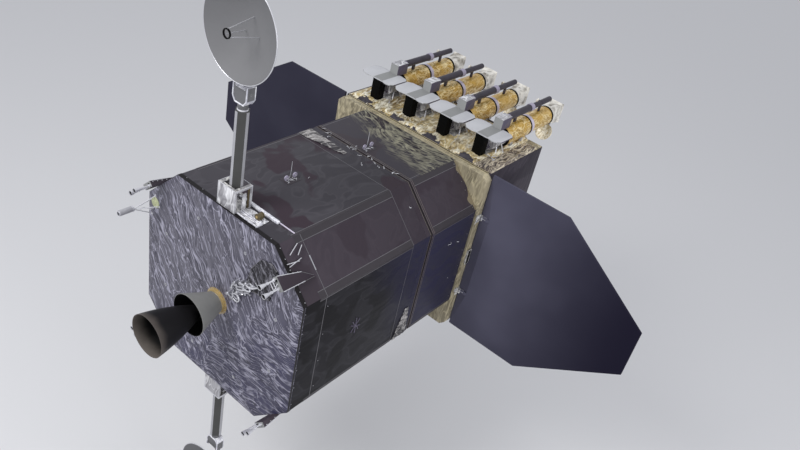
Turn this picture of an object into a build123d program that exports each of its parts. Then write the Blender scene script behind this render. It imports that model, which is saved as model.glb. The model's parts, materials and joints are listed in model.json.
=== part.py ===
"""Solar observatory satellite, deployed for flight.

Millimetres. +X points to the sun, +Z is the side that carries the telescopes,
+Y is the far array. The origin is the centre of the aft deck.
"""

import os
from functools import reduce
from math import cos, radians, sin, sqrt

from build123d import *

os.makedirs("parts", exist_ok=True)

# Bus: an octagonal box from the aft deck to the deck slab
BUS_HALF = 1055
BUS_CHAMFER = 410
BUS_LENGTH = 2590
DECK_THICKNESS = 30
BAND_WIDTH = 100
BAND_BEHIND_SLAB = 780
BAND_RECESS = 8
BAND_END = BUS_LENGTH - BAND_BEHIND_SLAB
BAND_START = BAND_END - BAND_WIDTH
SLAB_THICKNESS = 110
SLAB_SIDE_MARGIN = 20
SLAB_TOP_INSET = 5
SLAB_CHAMFER = 60
SLAB_END = BUS_LENGTH + SLAB_THICKNESS
SLAB_HALF_WIDTH = BUS_HALF + SLAB_SIDE_MARGIN
SLAB_HALF_HEIGHT = BUS_HALF - SLAB_TOP_INSET

# Launch adapter bolt circle in the aft deck
ADAPTER_RADIUS = 833
ADAPTER_HOLES = 8
ADAPTER_HOLE_RADIUS = 6.5
ADAPTER_HOLE_DEPTH = 24

# Instrument module ahead of the slab, level with the slab above and below
MODULE_LENGTH = 1090
MODULE_SIDE_INSET = 25
MODULE_END = SLAB_END + MODULE_LENGTH
MODULE_HALF_WIDTH = SLAB_HALF_WIDTH - MODULE_SIDE_INSET
MODULE_TOP = SLAB_HALF_HEIGHT

# Solar arrays: thin panels that taper to a narrow tip, beside the slab
ARRAY_THICKNESS = 25
ARRAY_GAP = 3.5
ARRAY_ROOT_GAP = 7
ARRAY_SHOULDER_SPAN = 934
ARRAY_SPAN = 2043
ARRAY_HEIGHT_INSET = 2
ARRAY_HALF_TIP = 288
ARRAY_START = SLAB_END + ARRAY_GAP
ARRAY_ROOT = SLAB_HALF_WIDTH + ARRAY_ROOT_GAP
ARRAY_SHOULDER = ARRAY_ROOT + ARRAY_SHOULDER_SPAN
ARRAY_TIP = ARRAY_ROOT + ARRAY_SPAN
ARRAY_HALF_ROOT = SLAB_HALF_HEIGHT - ARRAY_HEIGHT_INSET
HINGE_BEHIND_SLAB_FACE = 10
HINGE_OFFSET = 23
ARRAY_HINGE_X = SLAB_END - HINGE_BEHIND_SLAB_FACE
ARRAY_HINGE_Y = SLAB_HALF_WIDTH + HINGE_OFFSET
ARRAY_HINGE_Z = (511, -529)
ARRAY_PIN = 4
ARRAY_KNUCKLE = 9
ARRAY_KNUCKLE_HALF = 20

# Antenna booms: base box, mast, gimbal and dish, each standing on the last
BASE_START = 15
BASE_LENGTH = 190
BASE_HALF_WIDTH = 112
BASE_HEIGHT = 225
BASE_WALL = 8
BASE_END = BASE_START + BASE_LENGTH
BASE_TOP = BUS_HALF + BASE_HEIGHT
BOOM_X = BASE_END - 85
BOOM_PIVOT_Z = BASE_TOP - 75
BOOM_PIN = 12
MAST_FOOT = BOOM_PIVOT_Z - 35
MAST_START = BASE_TOP - 18
MAST_LENGTH = 724
MAST_TOP = MAST_START + MAST_LENGTH
MAST_WIDTH = 115
MAST_CHAMFER = 21
NECK_RADIUS = 44
NECK_LENGTH = 64
YOKE_BOTTOM = MAST_TOP + NECK_LENGTH
YOKE_HEIGHT = 160
YOKE_FLOOR = 10
YOKE_FRONT_WALL = 6
YOKE_FRONT_GAP = 25
YOKE_TOP = YOKE_BOTTOM + YOKE_HEIGHT
YOKE_HALF_WIDTH = 83
YOKE_EAR = 24
YOKE_DEPTH = 86
TRUNNION_Z = YOKE_TOP - 60
TRUNNION_RADIUS = 30
TRUNNION_PIN = 12
DISH_X = 15
DISH_ABOVE_TRUNNION = 517
DISH_Z = TRUNNION_Z + DISH_ABOVE_TRUNNION
DISH_RADIUS = 409
DISH_DEPTH = 150
DISH_WALL = 7
ARM_HALF_WIDTH = 28
ARM_THICKNESS = 23
ARM_START = DISH_X + DISH_DEPTH + 10
ARM_END = ARM_START + ARM_THICKNESS
FEED_LENGTH = 14
FEED_RADIUS = 41
FEED_WALL = 8
FEED_AHEAD = 119
FEED_X = DISH_X - FEED_AHEAD
FEED_FOOT_RADIUS = 90
PIN_CLEARANCE = 0.05
RESTRAINT_PLACES = (760, 1866)

# Engine on the aft deck
RING_DEPTH = 35
RING_RADIUS = 120
SHIELD_MOUTH_X = -330
SHIELD_ROOT_RADIUS = 108
SHIELD_MOUTH_RADIUS = 214
SHIELD_WALL = 4
THROAT_X = -205
THROAT_RADIUS = 45
BELL_X = -770
BELL_MIDDLE = (-450, 136)
BELL_RADIUS = 212
BELL_WALL = 5

# Thruster pods on the four chamfers
POD_AFT = -150
POD_FORE = 235
POD_OUTLINE = (
    # x, distance from the middle of the chamfer towards the side of the bus
    (POD_AFT, -63),
    (POD_AFT, 77),
    (POD_FORE, 90),
    (POD_FORE, 75),
    (120, 0),
)
POD_HEIGHT = 58
POD_TIP_HEIGHT = 10
THRUSTER_SPACING = 80
THRUSTER_HEIGHT = 18
THRUSTER_REACH = 170
THRUSTER_TIP = POD_AFT - THRUSTER_REACH
THRUSTER_RADIUS = 24

# Small sensor at the far edge of the aft deck
SENSOR_Y = BUS_HALF - 7
SENSOR_Z = 526
SENSOR_RADIUS = 30
SENSOR_ENDS = (-345, -190)

# Telescopes on the top of the instrument module
TELESCOPE_PITCH = 500
TELESCOPES = tuple((place - 1.5) * TELESCOPE_PITCH for place in range(4))
TUBE_RADIUS = 120
TUBE_LIFT = 30
TUBE_Z = MODULE_TOP + TUBE_LIFT + TUBE_RADIUS
TUBE_WALL = 4
CELL_FROM_SLAB = 340
CELL_LENGTH = 200
CELL_RADIUS = 92
CELL_START = SLAB_END + CELL_FROM_SLAB
TUBE_START = CELL_START + CELL_LENGTH
REAR_LENGTH = 505
FRONT_STEP = 8
FRONT_LENGTH = 517
TUBE_STEP = TUBE_START + REAR_LENGTH
FRONT_RADIUS = TUBE_RADIUS - FRONT_STEP
TUBE_OPEN = TUBE_STEP + 155
TUBE_END = TUBE_STEP + FRONT_LENGTH
HOOD_LENGTH = 238
HOOD_END = TUBE_END + HOOD_LENGTH
HOOD_WIDTH = 200
HOOD_HEIGHT = 250
HOOD_WALL = 4
APERTURE_RADIUS = 86
DOOR_HINGE_X = HOOD_END - 4
DOOR_HINGE_Z = TUBE_Z - HOOD_HEIGHT / 2 - 27
DOOR_RADIUS = 105
DOOR_THICKNESS = 6
DOOR_GAP = 5
DOOR_OPEN = 215
DOOR_KNUCKLE = 7
DOOR_PIN = 3

# Guide scope above each telescope
GUIDE_ABOVE_TUBE = 221
GUIDE_Z = TUBE_Z + GUIDE_ABOVE_TUBE
GUIDE_PARTS = (
    # start, end, radius
    (TUBE_START + 90, TUBE_START + 530, 40),
    (TUBE_START + 530, TUBE_START + 590, 47),
    (TUBE_START + 590, TUBE_START + 1005, 32),
)
GUIDE_FEET = (
    # start, end, radius of the tube below and of the scope above the foot
    (TUBE_START + 230, TUBE_START + 280, TUBE_RADIUS, 40),
    (TUBE_START + 780, TUBE_START + 820, FRONT_RADIUS, 32),
)

# Radiator plate behind each telescope: a flat stripe and two raised wings
PLATE_ABOVE_TUBE = 128
PLATE_BOTTOM = TUBE_Z + PLATE_ABOVE_TUBE
PLATE_THICKNESS = 12
STRIPE_HALF = 68
STRIPE_START = CELL_START - 210
STRIPE_END = CELL_START + 95
WING_ROOT = STRIPE_HALF - 2
WING_OUTLINE = (
    # x, distance from the middle of the plate
    (CELL_START - 205, WING_ROOT),
    (CELL_START - 240, 140),
    (CELL_START - 240, 200),
    (CELL_START - 200, 242),
    (CELL_START + 20, 245),
    (CELL_START + 68, 198),
    (CELL_START + 102, 100),
    (CELL_START + 102, WING_ROOT),
)
WING_CORNER = 12
WING_ANGLE = 7
CAMERA_BOX_X = (CELL_START + 75, CELL_START + 260)
CAMERA_BOX_HALF = 55
CAMERA_BOX_HEIGHT = 130
BOX_X = (CELL_START - 155, CELL_START - 50)
BOX_Y = (-10, 105)


def block(x, y, z):
    """A box between the low and high limits along each axis."""
    size = (x[1] - x[0], y[1] - y[0], z[1] - z[0])
    centre = ((x[0] + x[1]) / 2, (y[0] + y[1]) / 2, (z[0] + z[1]) / 2)
    return Pos(*centre) * Box(*size)


def rod(start, end, radius, end_radius=None):
    """A round bar between two points, or a cone frustum with a second radius."""
    line = Vector(*end) - Vector(*start)
    place = Plane(origin=start, z_dir=line)
    low = (Align.CENTER, Align.CENTER, Align.MIN)
    if end_radius is None:
        return place * Cylinder(radius, line.length, align=low)
    return place * Cone(radius, end_radius, line.length, align=low)


def bar_x(points, x):
    """A bar along X whose section is drawn in Y and Z."""
    face = Plane.YZ.offset(x[0]) * make_face(Polyline(*points, close=True))
    return extrude(face, x[1] - x[0], dir=(1, 0, 0))


def bar_y(points, y):
    """A bar along Y whose section is drawn in X and Z."""
    face = Plane.XZ.offset(-y[0]) * make_face(Polyline(*points, close=True))
    return extrude(face, y[1] - y[0], dir=(0, 1, 0))


def bar_z(points, z):
    """A bar along Z whose section is drawn in X and Y."""
    face = Plane.XY.offset(z[0]) * make_face(Polyline(*points, close=True))
    return extrude(face, z[1] - z[0], dir=(0, 0, 1))


def turned(outline, y, z):
    """A body turned about the line along X through y, z."""
    return Pos(0, y, z) * revolve(make_face(outline), Axis.X, 360)


def tube_x(x, outer, inner, y=0, z=0):
    """A sleeve along X."""
    return rod((x[0], y, z), (x[1], y, z), outer) - rod((x[0], y, z), (x[1], y, z), inner)


def union(shapes):
    return reduce(lambda a, b: a + b, shapes)


def cut(body, tools):
    return reduce(lambda a, b: a - b, tools, body)


def bottom(shape):
    """The same piece on the underside of the satellite."""
    return mirror(shape, about=Plane.XY)


def save(node, shapes):
    """Write one node: a list of solids that do not touch each other."""
    solids = [solid for shape in shapes for solid in shape.solids()]
    export_step(Compound(label=node, children=solids), f"parts/{node}.step")


def octagon(half_y, half_z, chamfer):
    """The corners of a rectangle in Y and Z with its four corners cut."""
    flat_y = half_y - chamfer
    flat_z = half_z - chamfer
    return [
        (half_y, -flat_z),
        (half_y, flat_z),
        (flat_y, half_z),
        (-flat_y, half_z),
        (-half_y, flat_z),
        (-half_y, -flat_z),
        (-flat_y, -half_z),
        (flat_y, -half_z),
    ]


# Bus and deck slab


def aft_deck():
    """The aft plate, with the blind bolt holes of the launch adapter."""
    plate = bar_x(octagon(BUS_HALF, BUS_HALF, BUS_CHAMFER), (0, DECK_THICKNESS))
    holes = []
    for number in range(ADAPTER_HOLES):
        angle = radians(360 / ADAPTER_HOLES * (number + 0.5))
        y = ADAPTER_RADIUS * cos(angle)
        z = ADAPTER_RADIUS * sin(angle)
        holes.append(rod((0, y, z), (ADAPTER_HOLE_DEPTH, y, z), ADAPTER_HOLE_RADIUS))
    return [cut(plate, holes)]


def bus_section(start, end, recess=0):
    half = BUS_HALF - recess
    return [bar_x(octagon(half, half, BUS_CHAMFER - recess * 0.6), (start, end))]


def deck_slab():
    outline = octagon(SLAB_HALF_WIDTH, SLAB_HALF_HEIGHT, SLAB_CHAMFER)
    return [bar_x(outline, (BUS_LENGTH, SLAB_END))]


def instrument_module():
    half = MODULE_HALF_WIDTH
    return [block((SLAB_END, MODULE_END), (-half, half), (-MODULE_TOP, MODULE_TOP))]


def front_apertures():
    """Two instrument fronts on the sun side, from the kind of craft."""
    face = MODULE_END + 25
    imager = block((MODULE_END, face), (120, 920), (-420, 620))
    imager += rod((face, 520, 260), (face + 70, 520, 260), 130)
    imager -= rod((face + 5, 520, 260), (face + 80, 520, 260), 95)
    imager += rod((face, 760, -160), (face + 45, 760, -160), 60)
    imager -= rod((face + 5, 760, -160), (face + 60, 760, -160), 42)
    spectrometer = block((MODULE_END, face), (-920, -120), (-300, 480))
    for y in (-800, -660, -520, -380, -240):
        collar = block((face, face + 50), (y - 50, y + 50), (60, 260))
        spectrometer += collar - block((face + 5, face + 60), (y - 34, y + 34), (76, 244))
    spectrometer += rod((face, -520, -120), (face + 60, -520, -120), 80)
    spectrometer -= rod((face + 5, -520, -120), (face + 70, -520, -120), 60)
    return [imager, spectrometer]


# Solar arrays


def array_panel(side):
    outline = [
        (side * ARRAY_ROOT, -ARRAY_HALF_ROOT),
        (side * ARRAY_SHOULDER, -ARRAY_HALF_ROOT),
        (side * ARRAY_TIP, -ARRAY_HALF_TIP),
        (side * ARRAY_TIP, ARRAY_HALF_TIP),
        (side * ARRAY_SHOULDER, ARRAY_HALF_ROOT),
        (side * ARRAY_ROOT, ARRAY_HALF_ROOT),
    ]
    panel = bar_x(outline, (ARRAY_START, ARRAY_START + ARRAY_THICKNESS))
    for z in ARRAY_HINGE_Z:
        low = z - ARRAY_KNUCKLE_HALF
        high = z + ARRAY_KNUCKLE_HALF
        y = side * ARRAY_HINGE_Y
        strap_y = sorted((y, side * (ARRAY_HINGE_Y + 90)))
        strap = block((ARRAY_HINGE_X, ARRAY_START), strap_y, (low, high))
        knuckle = rod((ARRAY_HINGE_X, y, low), (ARRAY_HINGE_X, y, high), ARRAY_KNUCKLE)
        bore_radius = ARRAY_PIN + PIN_CLEARANCE
        bore = rod((ARRAY_HINGE_X, y, low), (ARRAY_HINGE_X, y, high), bore_radius)
        panel = panel + strap + knuckle - bore
    return [panel]


def array_hinges():
    """Fixed forks and pins on the edges of the slab, and the middle latches."""
    pieces = []
    reach = ARRAY_KNUCKLE_HALF + 2
    for side in (-1, 1):
        y = side * ARRAY_HINGE_Y
        for z in ARRAY_HINGE_Z:
            pin_ends = (z - reach - 12, z + reach + 12)
            fork = rod((ARRAY_HINGE_X, y, pin_ends[0]), (ARRAY_HINGE_X, y, pin_ends[1]), ARRAY_PIN)
            for start, end in ((z - reach - 12, z - reach), (z + reach, z + reach + 12)):
                ear_y = sorted((side * SLAB_HALF_WIDTH, y))
                ear_x = (ARRAY_HINGE_X - ARRAY_KNUCKLE, ARRAY_HINGE_X + ARRAY_KNUCKLE)
                ear = block(ear_x, ear_y, (start, end))
                eye = rod((ARRAY_HINGE_X, y, start), (ARRAY_HINGE_X, y, end), ARRAY_KNUCKLE)
                fork = fork + ear + eye
            foot_y = sorted((side * SLAB_HALF_WIDTH, side * (SLAB_HALF_WIDTH + 5)))
            foot = block((SLAB_END - 60, SLAB_END - 2), foot_y, (pin_ends[0] - 12, pin_ends[1] + 12))
            pieces.append(fork + foot)
        latch_y = sorted((side * SLAB_HALF_WIDTH, side * (SLAB_HALF_WIDTH + 22)))
        pieces.append(block((SLAB_END - 80, SLAB_END - 12), latch_y, (-89, 78)))
    return pieces


# Antennas, drawn on the top side


def antenna_base():
    """Box that holds the foot of a mast: open at the near side and forward."""
    x = (BASE_START, BASE_END)
    half = BASE_HALF_WIDTH
    bottom_z = BUS_HALF
    aft_wall = block((x[0], x[0] + BASE_WALL), (-half, half), (bottom_z, BASE_TOP))
    far_wall = block(x, (half - BASE_WALL, half), (bottom_z, BASE_TOP))
    top = block(x, (-half, half), (BASE_TOP - BASE_WALL, BASE_TOP))
    slot_half = MAST_WIDTH / sqrt(2) - 6
    slot = block((BASE_START + 30, BASE_END), (-slot_half, slot_half), (BASE_TOP - 20, BASE_TOP))
    floor = block(x, (-half, half), (bottom_z, bottom_z + BASE_WALL))
    post_z = (bottom_z, BASE_TOP)
    posts = [
        block((x[0], x[0] + 22), (-half, -half + BASE_WALL), post_z),
        block((x[1] - 22, x[1]), (-half, -half + BASE_WALL), post_z),
    ]
    bearing_z = (bottom_z, BOOM_PIVOT_Z + 22)
    bearing_x = (BOOM_X - 22, BOOM_X + 22)
    bearing = block(bearing_x, (-half, -half + BASE_WALL), bearing_z)
    pin = rod((BOOM_X, -half, BOOM_PIVOT_Z), (BOOM_X, half, BOOM_PIVOT_Z), BOOM_PIN)
    return union([aft_wall, far_wall, top - slot, floor, bearing, pin] + posts)


def mast():
    """Square mast turned on edge, with the foot that swings on the base pin."""
    half = MAST_WIDTH / 2
    section = octagon(half, half, MAST_CHAMFER)
    shaft = Rot(0, 0, 45) * bar_z(section, (MAST_START, MAST_TOP))
    foot = block((-30, 30), (-40, 40), (MAST_FOOT, MAST_START))
    bore = rod((0, -60, BOOM_PIVOT_Z), (0, 60, BOOM_PIVOT_Z), BOOM_PIN + PIN_CLEARANCE)
    return Pos(BOOM_X, 0, 0) * (shaft + foot - bore)


def gimbal():
    """Turning neck with the cup-like yoke, closed aft, that carries the trunnion."""
    neck = rod((0, 0, MAST_TOP), (0, 0, YOKE_BOTTOM), NECK_RADIUS)
    outer = [
        (-YOKE_HALF_WIDTH + 30, YOKE_BOTTOM),
        (YOKE_HALF_WIDTH - 30, YOKE_BOTTOM),
        (YOKE_HALF_WIDTH, YOKE_BOTTOM + 45),
        (YOKE_HALF_WIDTH, YOKE_TOP),
        (-YOKE_HALF_WIDTH, YOKE_TOP),
        (-YOKE_HALF_WIDTH, YOKE_BOTTOM + 45),
    ]
    inner_half = YOKE_HALF_WIDTH - YOKE_EAR
    inner_low = YOKE_BOTTOM + YOKE_FLOOR
    inner = [
        (-inner_half + 20, inner_low),
        (inner_half - 20, inner_low),
        (inner_half, inner_low + 30),
        (inner_half, YOKE_TOP),
        (-inner_half, YOKE_TOP),
        (-inner_half, inner_low + 30),
    ]
    depth = (-YOKE_DEPTH / 2, YOKE_DEPTH / 2)
    behind_wall = (depth[0] + YOKE_FRONT_WALL, depth[1])
    over_wall = block(depth, (-inner_half, inner_half), (YOKE_TOP - YOKE_FRONT_GAP, YOKE_TOP))
    yoke = bar_x(outer, depth) - bar_x(inner, behind_wall) - over_wall
    ends = ((0, -YOKE_HALF_WIDTH, TRUNNION_Z), (0, YOKE_HALF_WIDTH, TRUNNION_Z))
    bore = rod(*ends, TRUNNION_PIN + PIN_CLEARANCE)
    return Pos(BOOM_X, 0, 0) * (neck + yoke - bore)


def dish():
    """Reflector with its lip, feed legs, hub, bent arm and trunnion."""
    vertex = DISH_X + DISH_DEPTH
    half_radius = DISH_RADIUS / 2
    half_x = vertex - DISH_DEPTH / 4
    bowl = Polyline((DISH_X, DISH_RADIUS), (DISH_X, DISH_RADIUS + DISH_WALL))
    bowl += ThreePointArc(
        (DISH_X, DISH_RADIUS + DISH_WALL),
        (half_x + DISH_WALL, half_radius + DISH_WALL / 2),
        (vertex + DISH_WALL, 0),
    )
    bowl += Polyline((vertex + DISH_WALL, 0), (vertex, 0))
    bowl += ThreePointArc((vertex, 0), (half_x, half_radius), (DISH_X, DISH_RADIUS))
    shell = turned(bowl, 0, DISH_Z)
    lip_x = (DISH_X, DISH_X + 12)
    lip = tube_x(lip_x, DISH_RADIUS + 9, DISH_RADIUS + 2, 0, DISH_Z)
    hub = rod((vertex, 0, DISH_Z), (ARM_END, 0, DISH_Z), 55)
    hub -= rod((vertex - 5, 0, DISH_Z), (vertex + 1, 0, DISH_Z), 60)
    arm_y = (-ARM_HALF_WIDTH, ARM_HALF_WIDTH)
    arm = block((ARM_START, ARM_END), arm_y, (TRUNNION_Z - 15, DISH_Z + 30))
    elbow = block((BOOM_X, ARM_END), arm_y, (TRUNNION_Z - 15, TRUNNION_Z + 15))
    inner_half = YOKE_HALF_WIDTH - YOKE_EAR - 1
    trunnion = rod((BOOM_X, -inner_half, TRUNNION_Z), (BOOM_X, inner_half, TRUNNION_Z), TRUNNION_RADIUS)
    pin_half = YOKE_HALF_WIDTH
    pin = rod((BOOM_X, -pin_half, TRUNNION_Z), (BOOM_X, pin_half, TRUNNION_Z), TRUNNION_PIN)
    body = union([shell, lip, hub, arm, elbow, trunnion, pin])
    foot_x = vertex - DISH_DEPTH * (FEED_FOOT_RADIUS / DISH_RADIUS) ** 2
    pad_x = FEED_X + FEED_LENGTH
    pad_radius = FEED_RADIUS - FEED_WALL / 2
    for turn in (90, 210, 330):
        y = cos(radians(turn))
        z = sin(radians(turn))
        foot = (foot_x + 3, FEED_FOOT_RADIUS * y, DISH_Z + FEED_FOOT_RADIUS * z)
        top = (pad_x + 6, pad_radius * y, DISH_Z + pad_radius * z)
        pad = rod((pad_x, top[1], top[2]), (pad_x + 10, top[1], top[2]), 5)
        body = body + rod(foot, top, 3) + pad
    return body


def feed():
    x = (FEED_X, FEED_X + FEED_LENGTH)
    return tube_x(x, FEED_RADIUS, FEED_RADIUS - FEED_WALL, 0, DISH_Z)


def boom_restraints():
    """Disc pairs and release levers that hold a folded mast."""
    pieces = []
    for x in RESTRAINT_PLACES:
        foot = block((x - 30, x + 140), (-34, 92), (BUS_HALF, BUS_HALF + 12))
        for disc_x in (x, x + 110):
            foot += rod((disc_x, 22, BUS_HALF + 34), (disc_x, 38, BUS_HALF + 34), 24)
        foot += rod((x + 106, 80, BUS_HALF + 6), (x + 106, 80, BUS_HALF + 155), 5)
        pieces.append(foot)
    return pieces


def base_rails():
    """Tray beside an antenna base, with its long duct and a cable drum."""
    near = -BASE_HALF_WIDTH - 2
    tray = block((BASE_START + 15, BASE_END + 50), (near - 148, near), (BUS_HALF, BUS_HALF + 5))
    tray += block((BASE_START + 15, BASE_START + 85), (near - 248, near), (BUS_HALF, BUS_HALF + 24))
    tray += block((BASE_END + 10, BASE_END + 47), (near - 316, near), (BUS_HALF, BUS_HALF + 26))
    tray += block((BASE_END + 43, BASE_END + 53), (near - 496, near - 306), (BUS_HALF, BUS_HALF + 8))
    drum_y = near - 186
    drum_z = BUS_HALF + 45
    drum = rod((BASE_START + 89, drum_y, drum_z), (BASE_START + 153, drum_y, drum_z), 28)
    drum += block((BASE_START + 89, BASE_START + 148), (drum_y - 22, drum_y + 22), (BUS_HALF, drum_z - 5))
    return [tray, drum]


# Engine, thrusters and the fittings of the aft deck


def engine_ring():
    ring = tube_x((-RING_DEPTH, 0), RING_RADIUS, 60)
    chamber = tube_x((THROAT_X, 0), THROAT_RADIUS + 12, THROAT_RADIUS - 8)
    plate = rod((-12, 0, 0), (0, 0, 0), 62)
    return [ring + chamber + plate]


def engine_shield():
    x = (SHIELD_MOUTH_X, -RING_DEPTH)
    outer = rod((x[0], 0, 0), (x[1], 0, 0), SHIELD_MOUTH_RADIUS, SHIELD_ROOT_RADIUS)
    inner_mouth = SHIELD_MOUTH_RADIUS - SHIELD_WALL
    inner_root = SHIELD_ROOT_RADIUS - SHIELD_WALL
    return [outer - rod((x[0], 0, 0), (x[1], 0, 0), inner_mouth, inner_root)]


def engine_bell():
    """The bell in two: the cooled upper part and the nozzle extension joined to it."""
    middle = BELL_MIDDLE
    wall = BELL_WALL
    outline = ThreePointArc((THROAT_X, THROAT_RADIUS + wall), (middle[0], middle[1] + wall), (BELL_X, BELL_RADIUS))
    outline += Polyline((BELL_X, BELL_RADIUS), (BELL_X, BELL_RADIUS - wall))
    outline += ThreePointArc((BELL_X, BELL_RADIUS - wall), middle, (THROAT_X, THROAT_RADIUS))
    outline += Polyline((THROAT_X, THROAT_RADIUS), (THROAT_X, THROAT_RADIUS + wall))
    whole = turned(outline, 0, 0)
    reach = BELL_RADIUS + 10
    aft = block((BELL_X - 10, middle[0]), (-reach, reach), (-reach, reach))
    return [whole - aft], [whole & aft]


def on_chamfers(shape):
    """Four copies of a piece drawn on the top face, one on each chamfer, +Y to the side of the bus."""
    distance = BUS_HALF * sqrt(2) - BUS_CHAMFER / sqrt(2)
    mirrored = mirror(shape, about=Plane.XZ)
    copies = []
    for turn, piece in ((45, mirrored), (135, shape), (225, mirrored), (315, shape)):
        copies.append(Rot(turn, 0, 0) * Pos(0, 0, distance) * piece)
    return copies


def thruster_pods():
    """Wedges that taper forward, in height and in width, into the chamfers."""
    side = [(POD_FORE, 0), (POD_AFT, 0), (POD_AFT, POD_HEIGHT), (POD_FORE, POD_TIP_HEIGHT)]
    reach = max(abs(distance) for x, distance in POD_OUTLINE)
    return on_chamfers(bar_y(side, (-reach, reach)) & bar_z(POD_OUTLINE, (0, POD_HEIGHT)))


def thrusters():
    z = THRUSTER_HEIGHT
    pair = []
    for y in (-THRUSTER_SPACING / 2, THRUSTER_SPACING / 2):
        pair.append(rod((POD_AFT - 70, y, z), (POD_AFT, y, z), 14))
        pair.append(rod((THRUSTER_TIP, y, z), (POD_AFT - 62, y, z), THRUSTER_RADIUS, 8))
    half = THRUSTER_SPACING / 2
    pair.append(rod((POD_AFT - 45, -half, z), (POD_AFT - 45, half, z), 5))
    return on_chamfers(union(pair))


def boom_sensor():
    """Small cylinder on struts at the far side of the aft deck."""
    body = rod((SENSOR_ENDS[0], SENSOR_Y, SENSOR_Z), (SENSOR_ENDS[1], SENSOR_Y, SENSOR_Z), SENSOR_RADIUS)
    joint = (SENSOR_ENDS[1] - 6, SENSOR_Y - 12, SENSOR_Z)
    for inwards, up in ((148, 34), (38, -106), (48, 74)):
        body += rod(joint, (0, SENSOR_Y - inwards, SENSOR_Z + up), 5)
    inside_deck = block((0, 40), (SENSOR_Y - 250, SENSOR_Y + 50), (SENSOR_Z - 150, SENSOR_Z + 150))
    return [body - inside_deck]


def service_panel():
    """Fill and drain valves with their pipes."""
    plate = block((-8, 0), (-500, -220), (300, 560))
    for y, z in ((-260, 360), (-330, 430), (-400, 500), (-300, 520), (-450, 380)):
        plate += rod((-50, y, z), (0, y, z), 15)
        plate += rod((-80, y, z), (-50, y, z), 8)
    return [plate]


# Telescopes


def tube(y):
    """Telescope tube in two steps, open at the front, with the mirror cell behind it."""
    cell = rod((CELL_START, y, TUBE_Z), (TUBE_START, y, TUBE_Z), CELL_RADIUS)
    rear = rod((TUBE_START, y, TUBE_Z), (TUBE_STEP, y, TUBE_Z), TUBE_RADIUS)
    front = rod((TUBE_STEP, y, TUBE_Z), (TUBE_END, y, TUBE_Z), FRONT_RADIUS)
    inside = rod((TUBE_OPEN, y, TUBE_Z), (TUBE_END, y, TUBE_Z), FRONT_RADIUS - TUBE_WALL)
    return cell + rear + front - inside


def hood_body(y, shrink):
    """Loft from the round tube to the rectangular front."""
    round_end = Plane.YZ.offset(TUBE_END) * Pos(y, TUBE_Z) * Circle(FRONT_RADIUS - shrink)
    width = HOOD_WIDTH - 2 * shrink
    height = HOOD_HEIGHT - 2 * shrink
    square_end = Plane.YZ.offset(HOOD_END) * Pos(y, TUBE_Z) * RectangleRounded(width, height, 12)
    return loft([round_end, square_end])


def hood(y):
    """Hood with its front plate, round aperture and the lugs of the door."""
    shell = hood_body(y, 0) - hood_body(y, HOOD_WALL)
    plate = block(
        (HOOD_END - 4, HOOD_END),
        (y - HOOD_WIDTH / 2 + 3, y + HOOD_WIDTH / 2 - 3),
        (TUBE_Z - HOOD_HEIGHT / 2 + 3, TUBE_Z + HOOD_HEIGHT / 2 - 3),
    )
    hole = rod((HOOD_END - 10, y, TUBE_Z), (HOOD_END + 10, y, TUBE_Z), APERTURE_RADIUS)
    shell = shell + plate - hole
    floor = TUBE_Z - HOOD_HEIGHT / 2
    for start in (y - 33, y + 25):
        ends = (start, start + 8)
        shell += block((DOOR_HINGE_X - 22, HOOD_END), ends, (DOOR_HINGE_Z + 5, floor + 3))
        shell += rod((DOOR_HINGE_X, ends[0], DOOR_HINGE_Z), (DOOR_HINGE_X, ends[1], DOOR_HINGE_Z), 9)
        shell += block((DOOR_HINGE_X - 9, HOOD_END), ends, (DOOR_HINGE_Z, floor))
    pin_ends = ((DOOR_HINGE_X, y - 33, DOOR_HINGE_Z), (DOOR_HINGE_X, y + 33, DOOR_HINGE_Z))
    return shell + rod(*pin_ends, DOOR_PIN)


def door(y):
    """Aperture door, drawn shut and swung to the open position of the photo."""
    face_x = HOOD_END + DOOR_GAP
    disc_x = (face_x, face_x + DOOR_THICKNESS)
    disc = rod((disc_x[0], y, TUBE_Z), (disc_x[1], y, TUBE_Z), DOOR_RADIUS)
    arm = block(disc_x, (y - 20, y + 20), (DOOR_HINGE_Z - 6, TUBE_Z - DOOR_RADIUS + 20))
    link = block((DOOR_HINGE_X, disc_x[1]), (y - 20, y + 20), (DOOR_HINGE_Z - 6, DOOR_HINGE_Z + 6))
    ends = ((DOOR_HINGE_X, y - 23, DOOR_HINGE_Z), (DOOR_HINGE_X, y + 23, DOOR_HINGE_Z))
    knuckle = rod(*ends, DOOR_KNUCKLE)
    shut = disc + arm + link + knuckle - rod(*ends, DOOR_PIN + PIN_CLEARANCE)
    return shut.rotate(Axis((DOOR_HINGE_X, y, DOOR_HINGE_Z), (0, 1, 0)), DOOR_OPEN)


def guide_scope(y):
    scope = union([rod((a, y, GUIDE_Z), (b, y, GUIDE_Z), radius) for a, b, radius in GUIDE_PARTS])
    for start, end, tube_radius, radius in GUIDE_FEET:
        foot = block((start, end), (y - 22, y + 22), (TUBE_Z + tube_radius / 2, GUIDE_Z - radius + 8))
        foot -= rod((start - 1, y, TUBE_Z), (end + 1, y, TUBE_Z), tube_radius)
        scope += foot
    return scope


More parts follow.
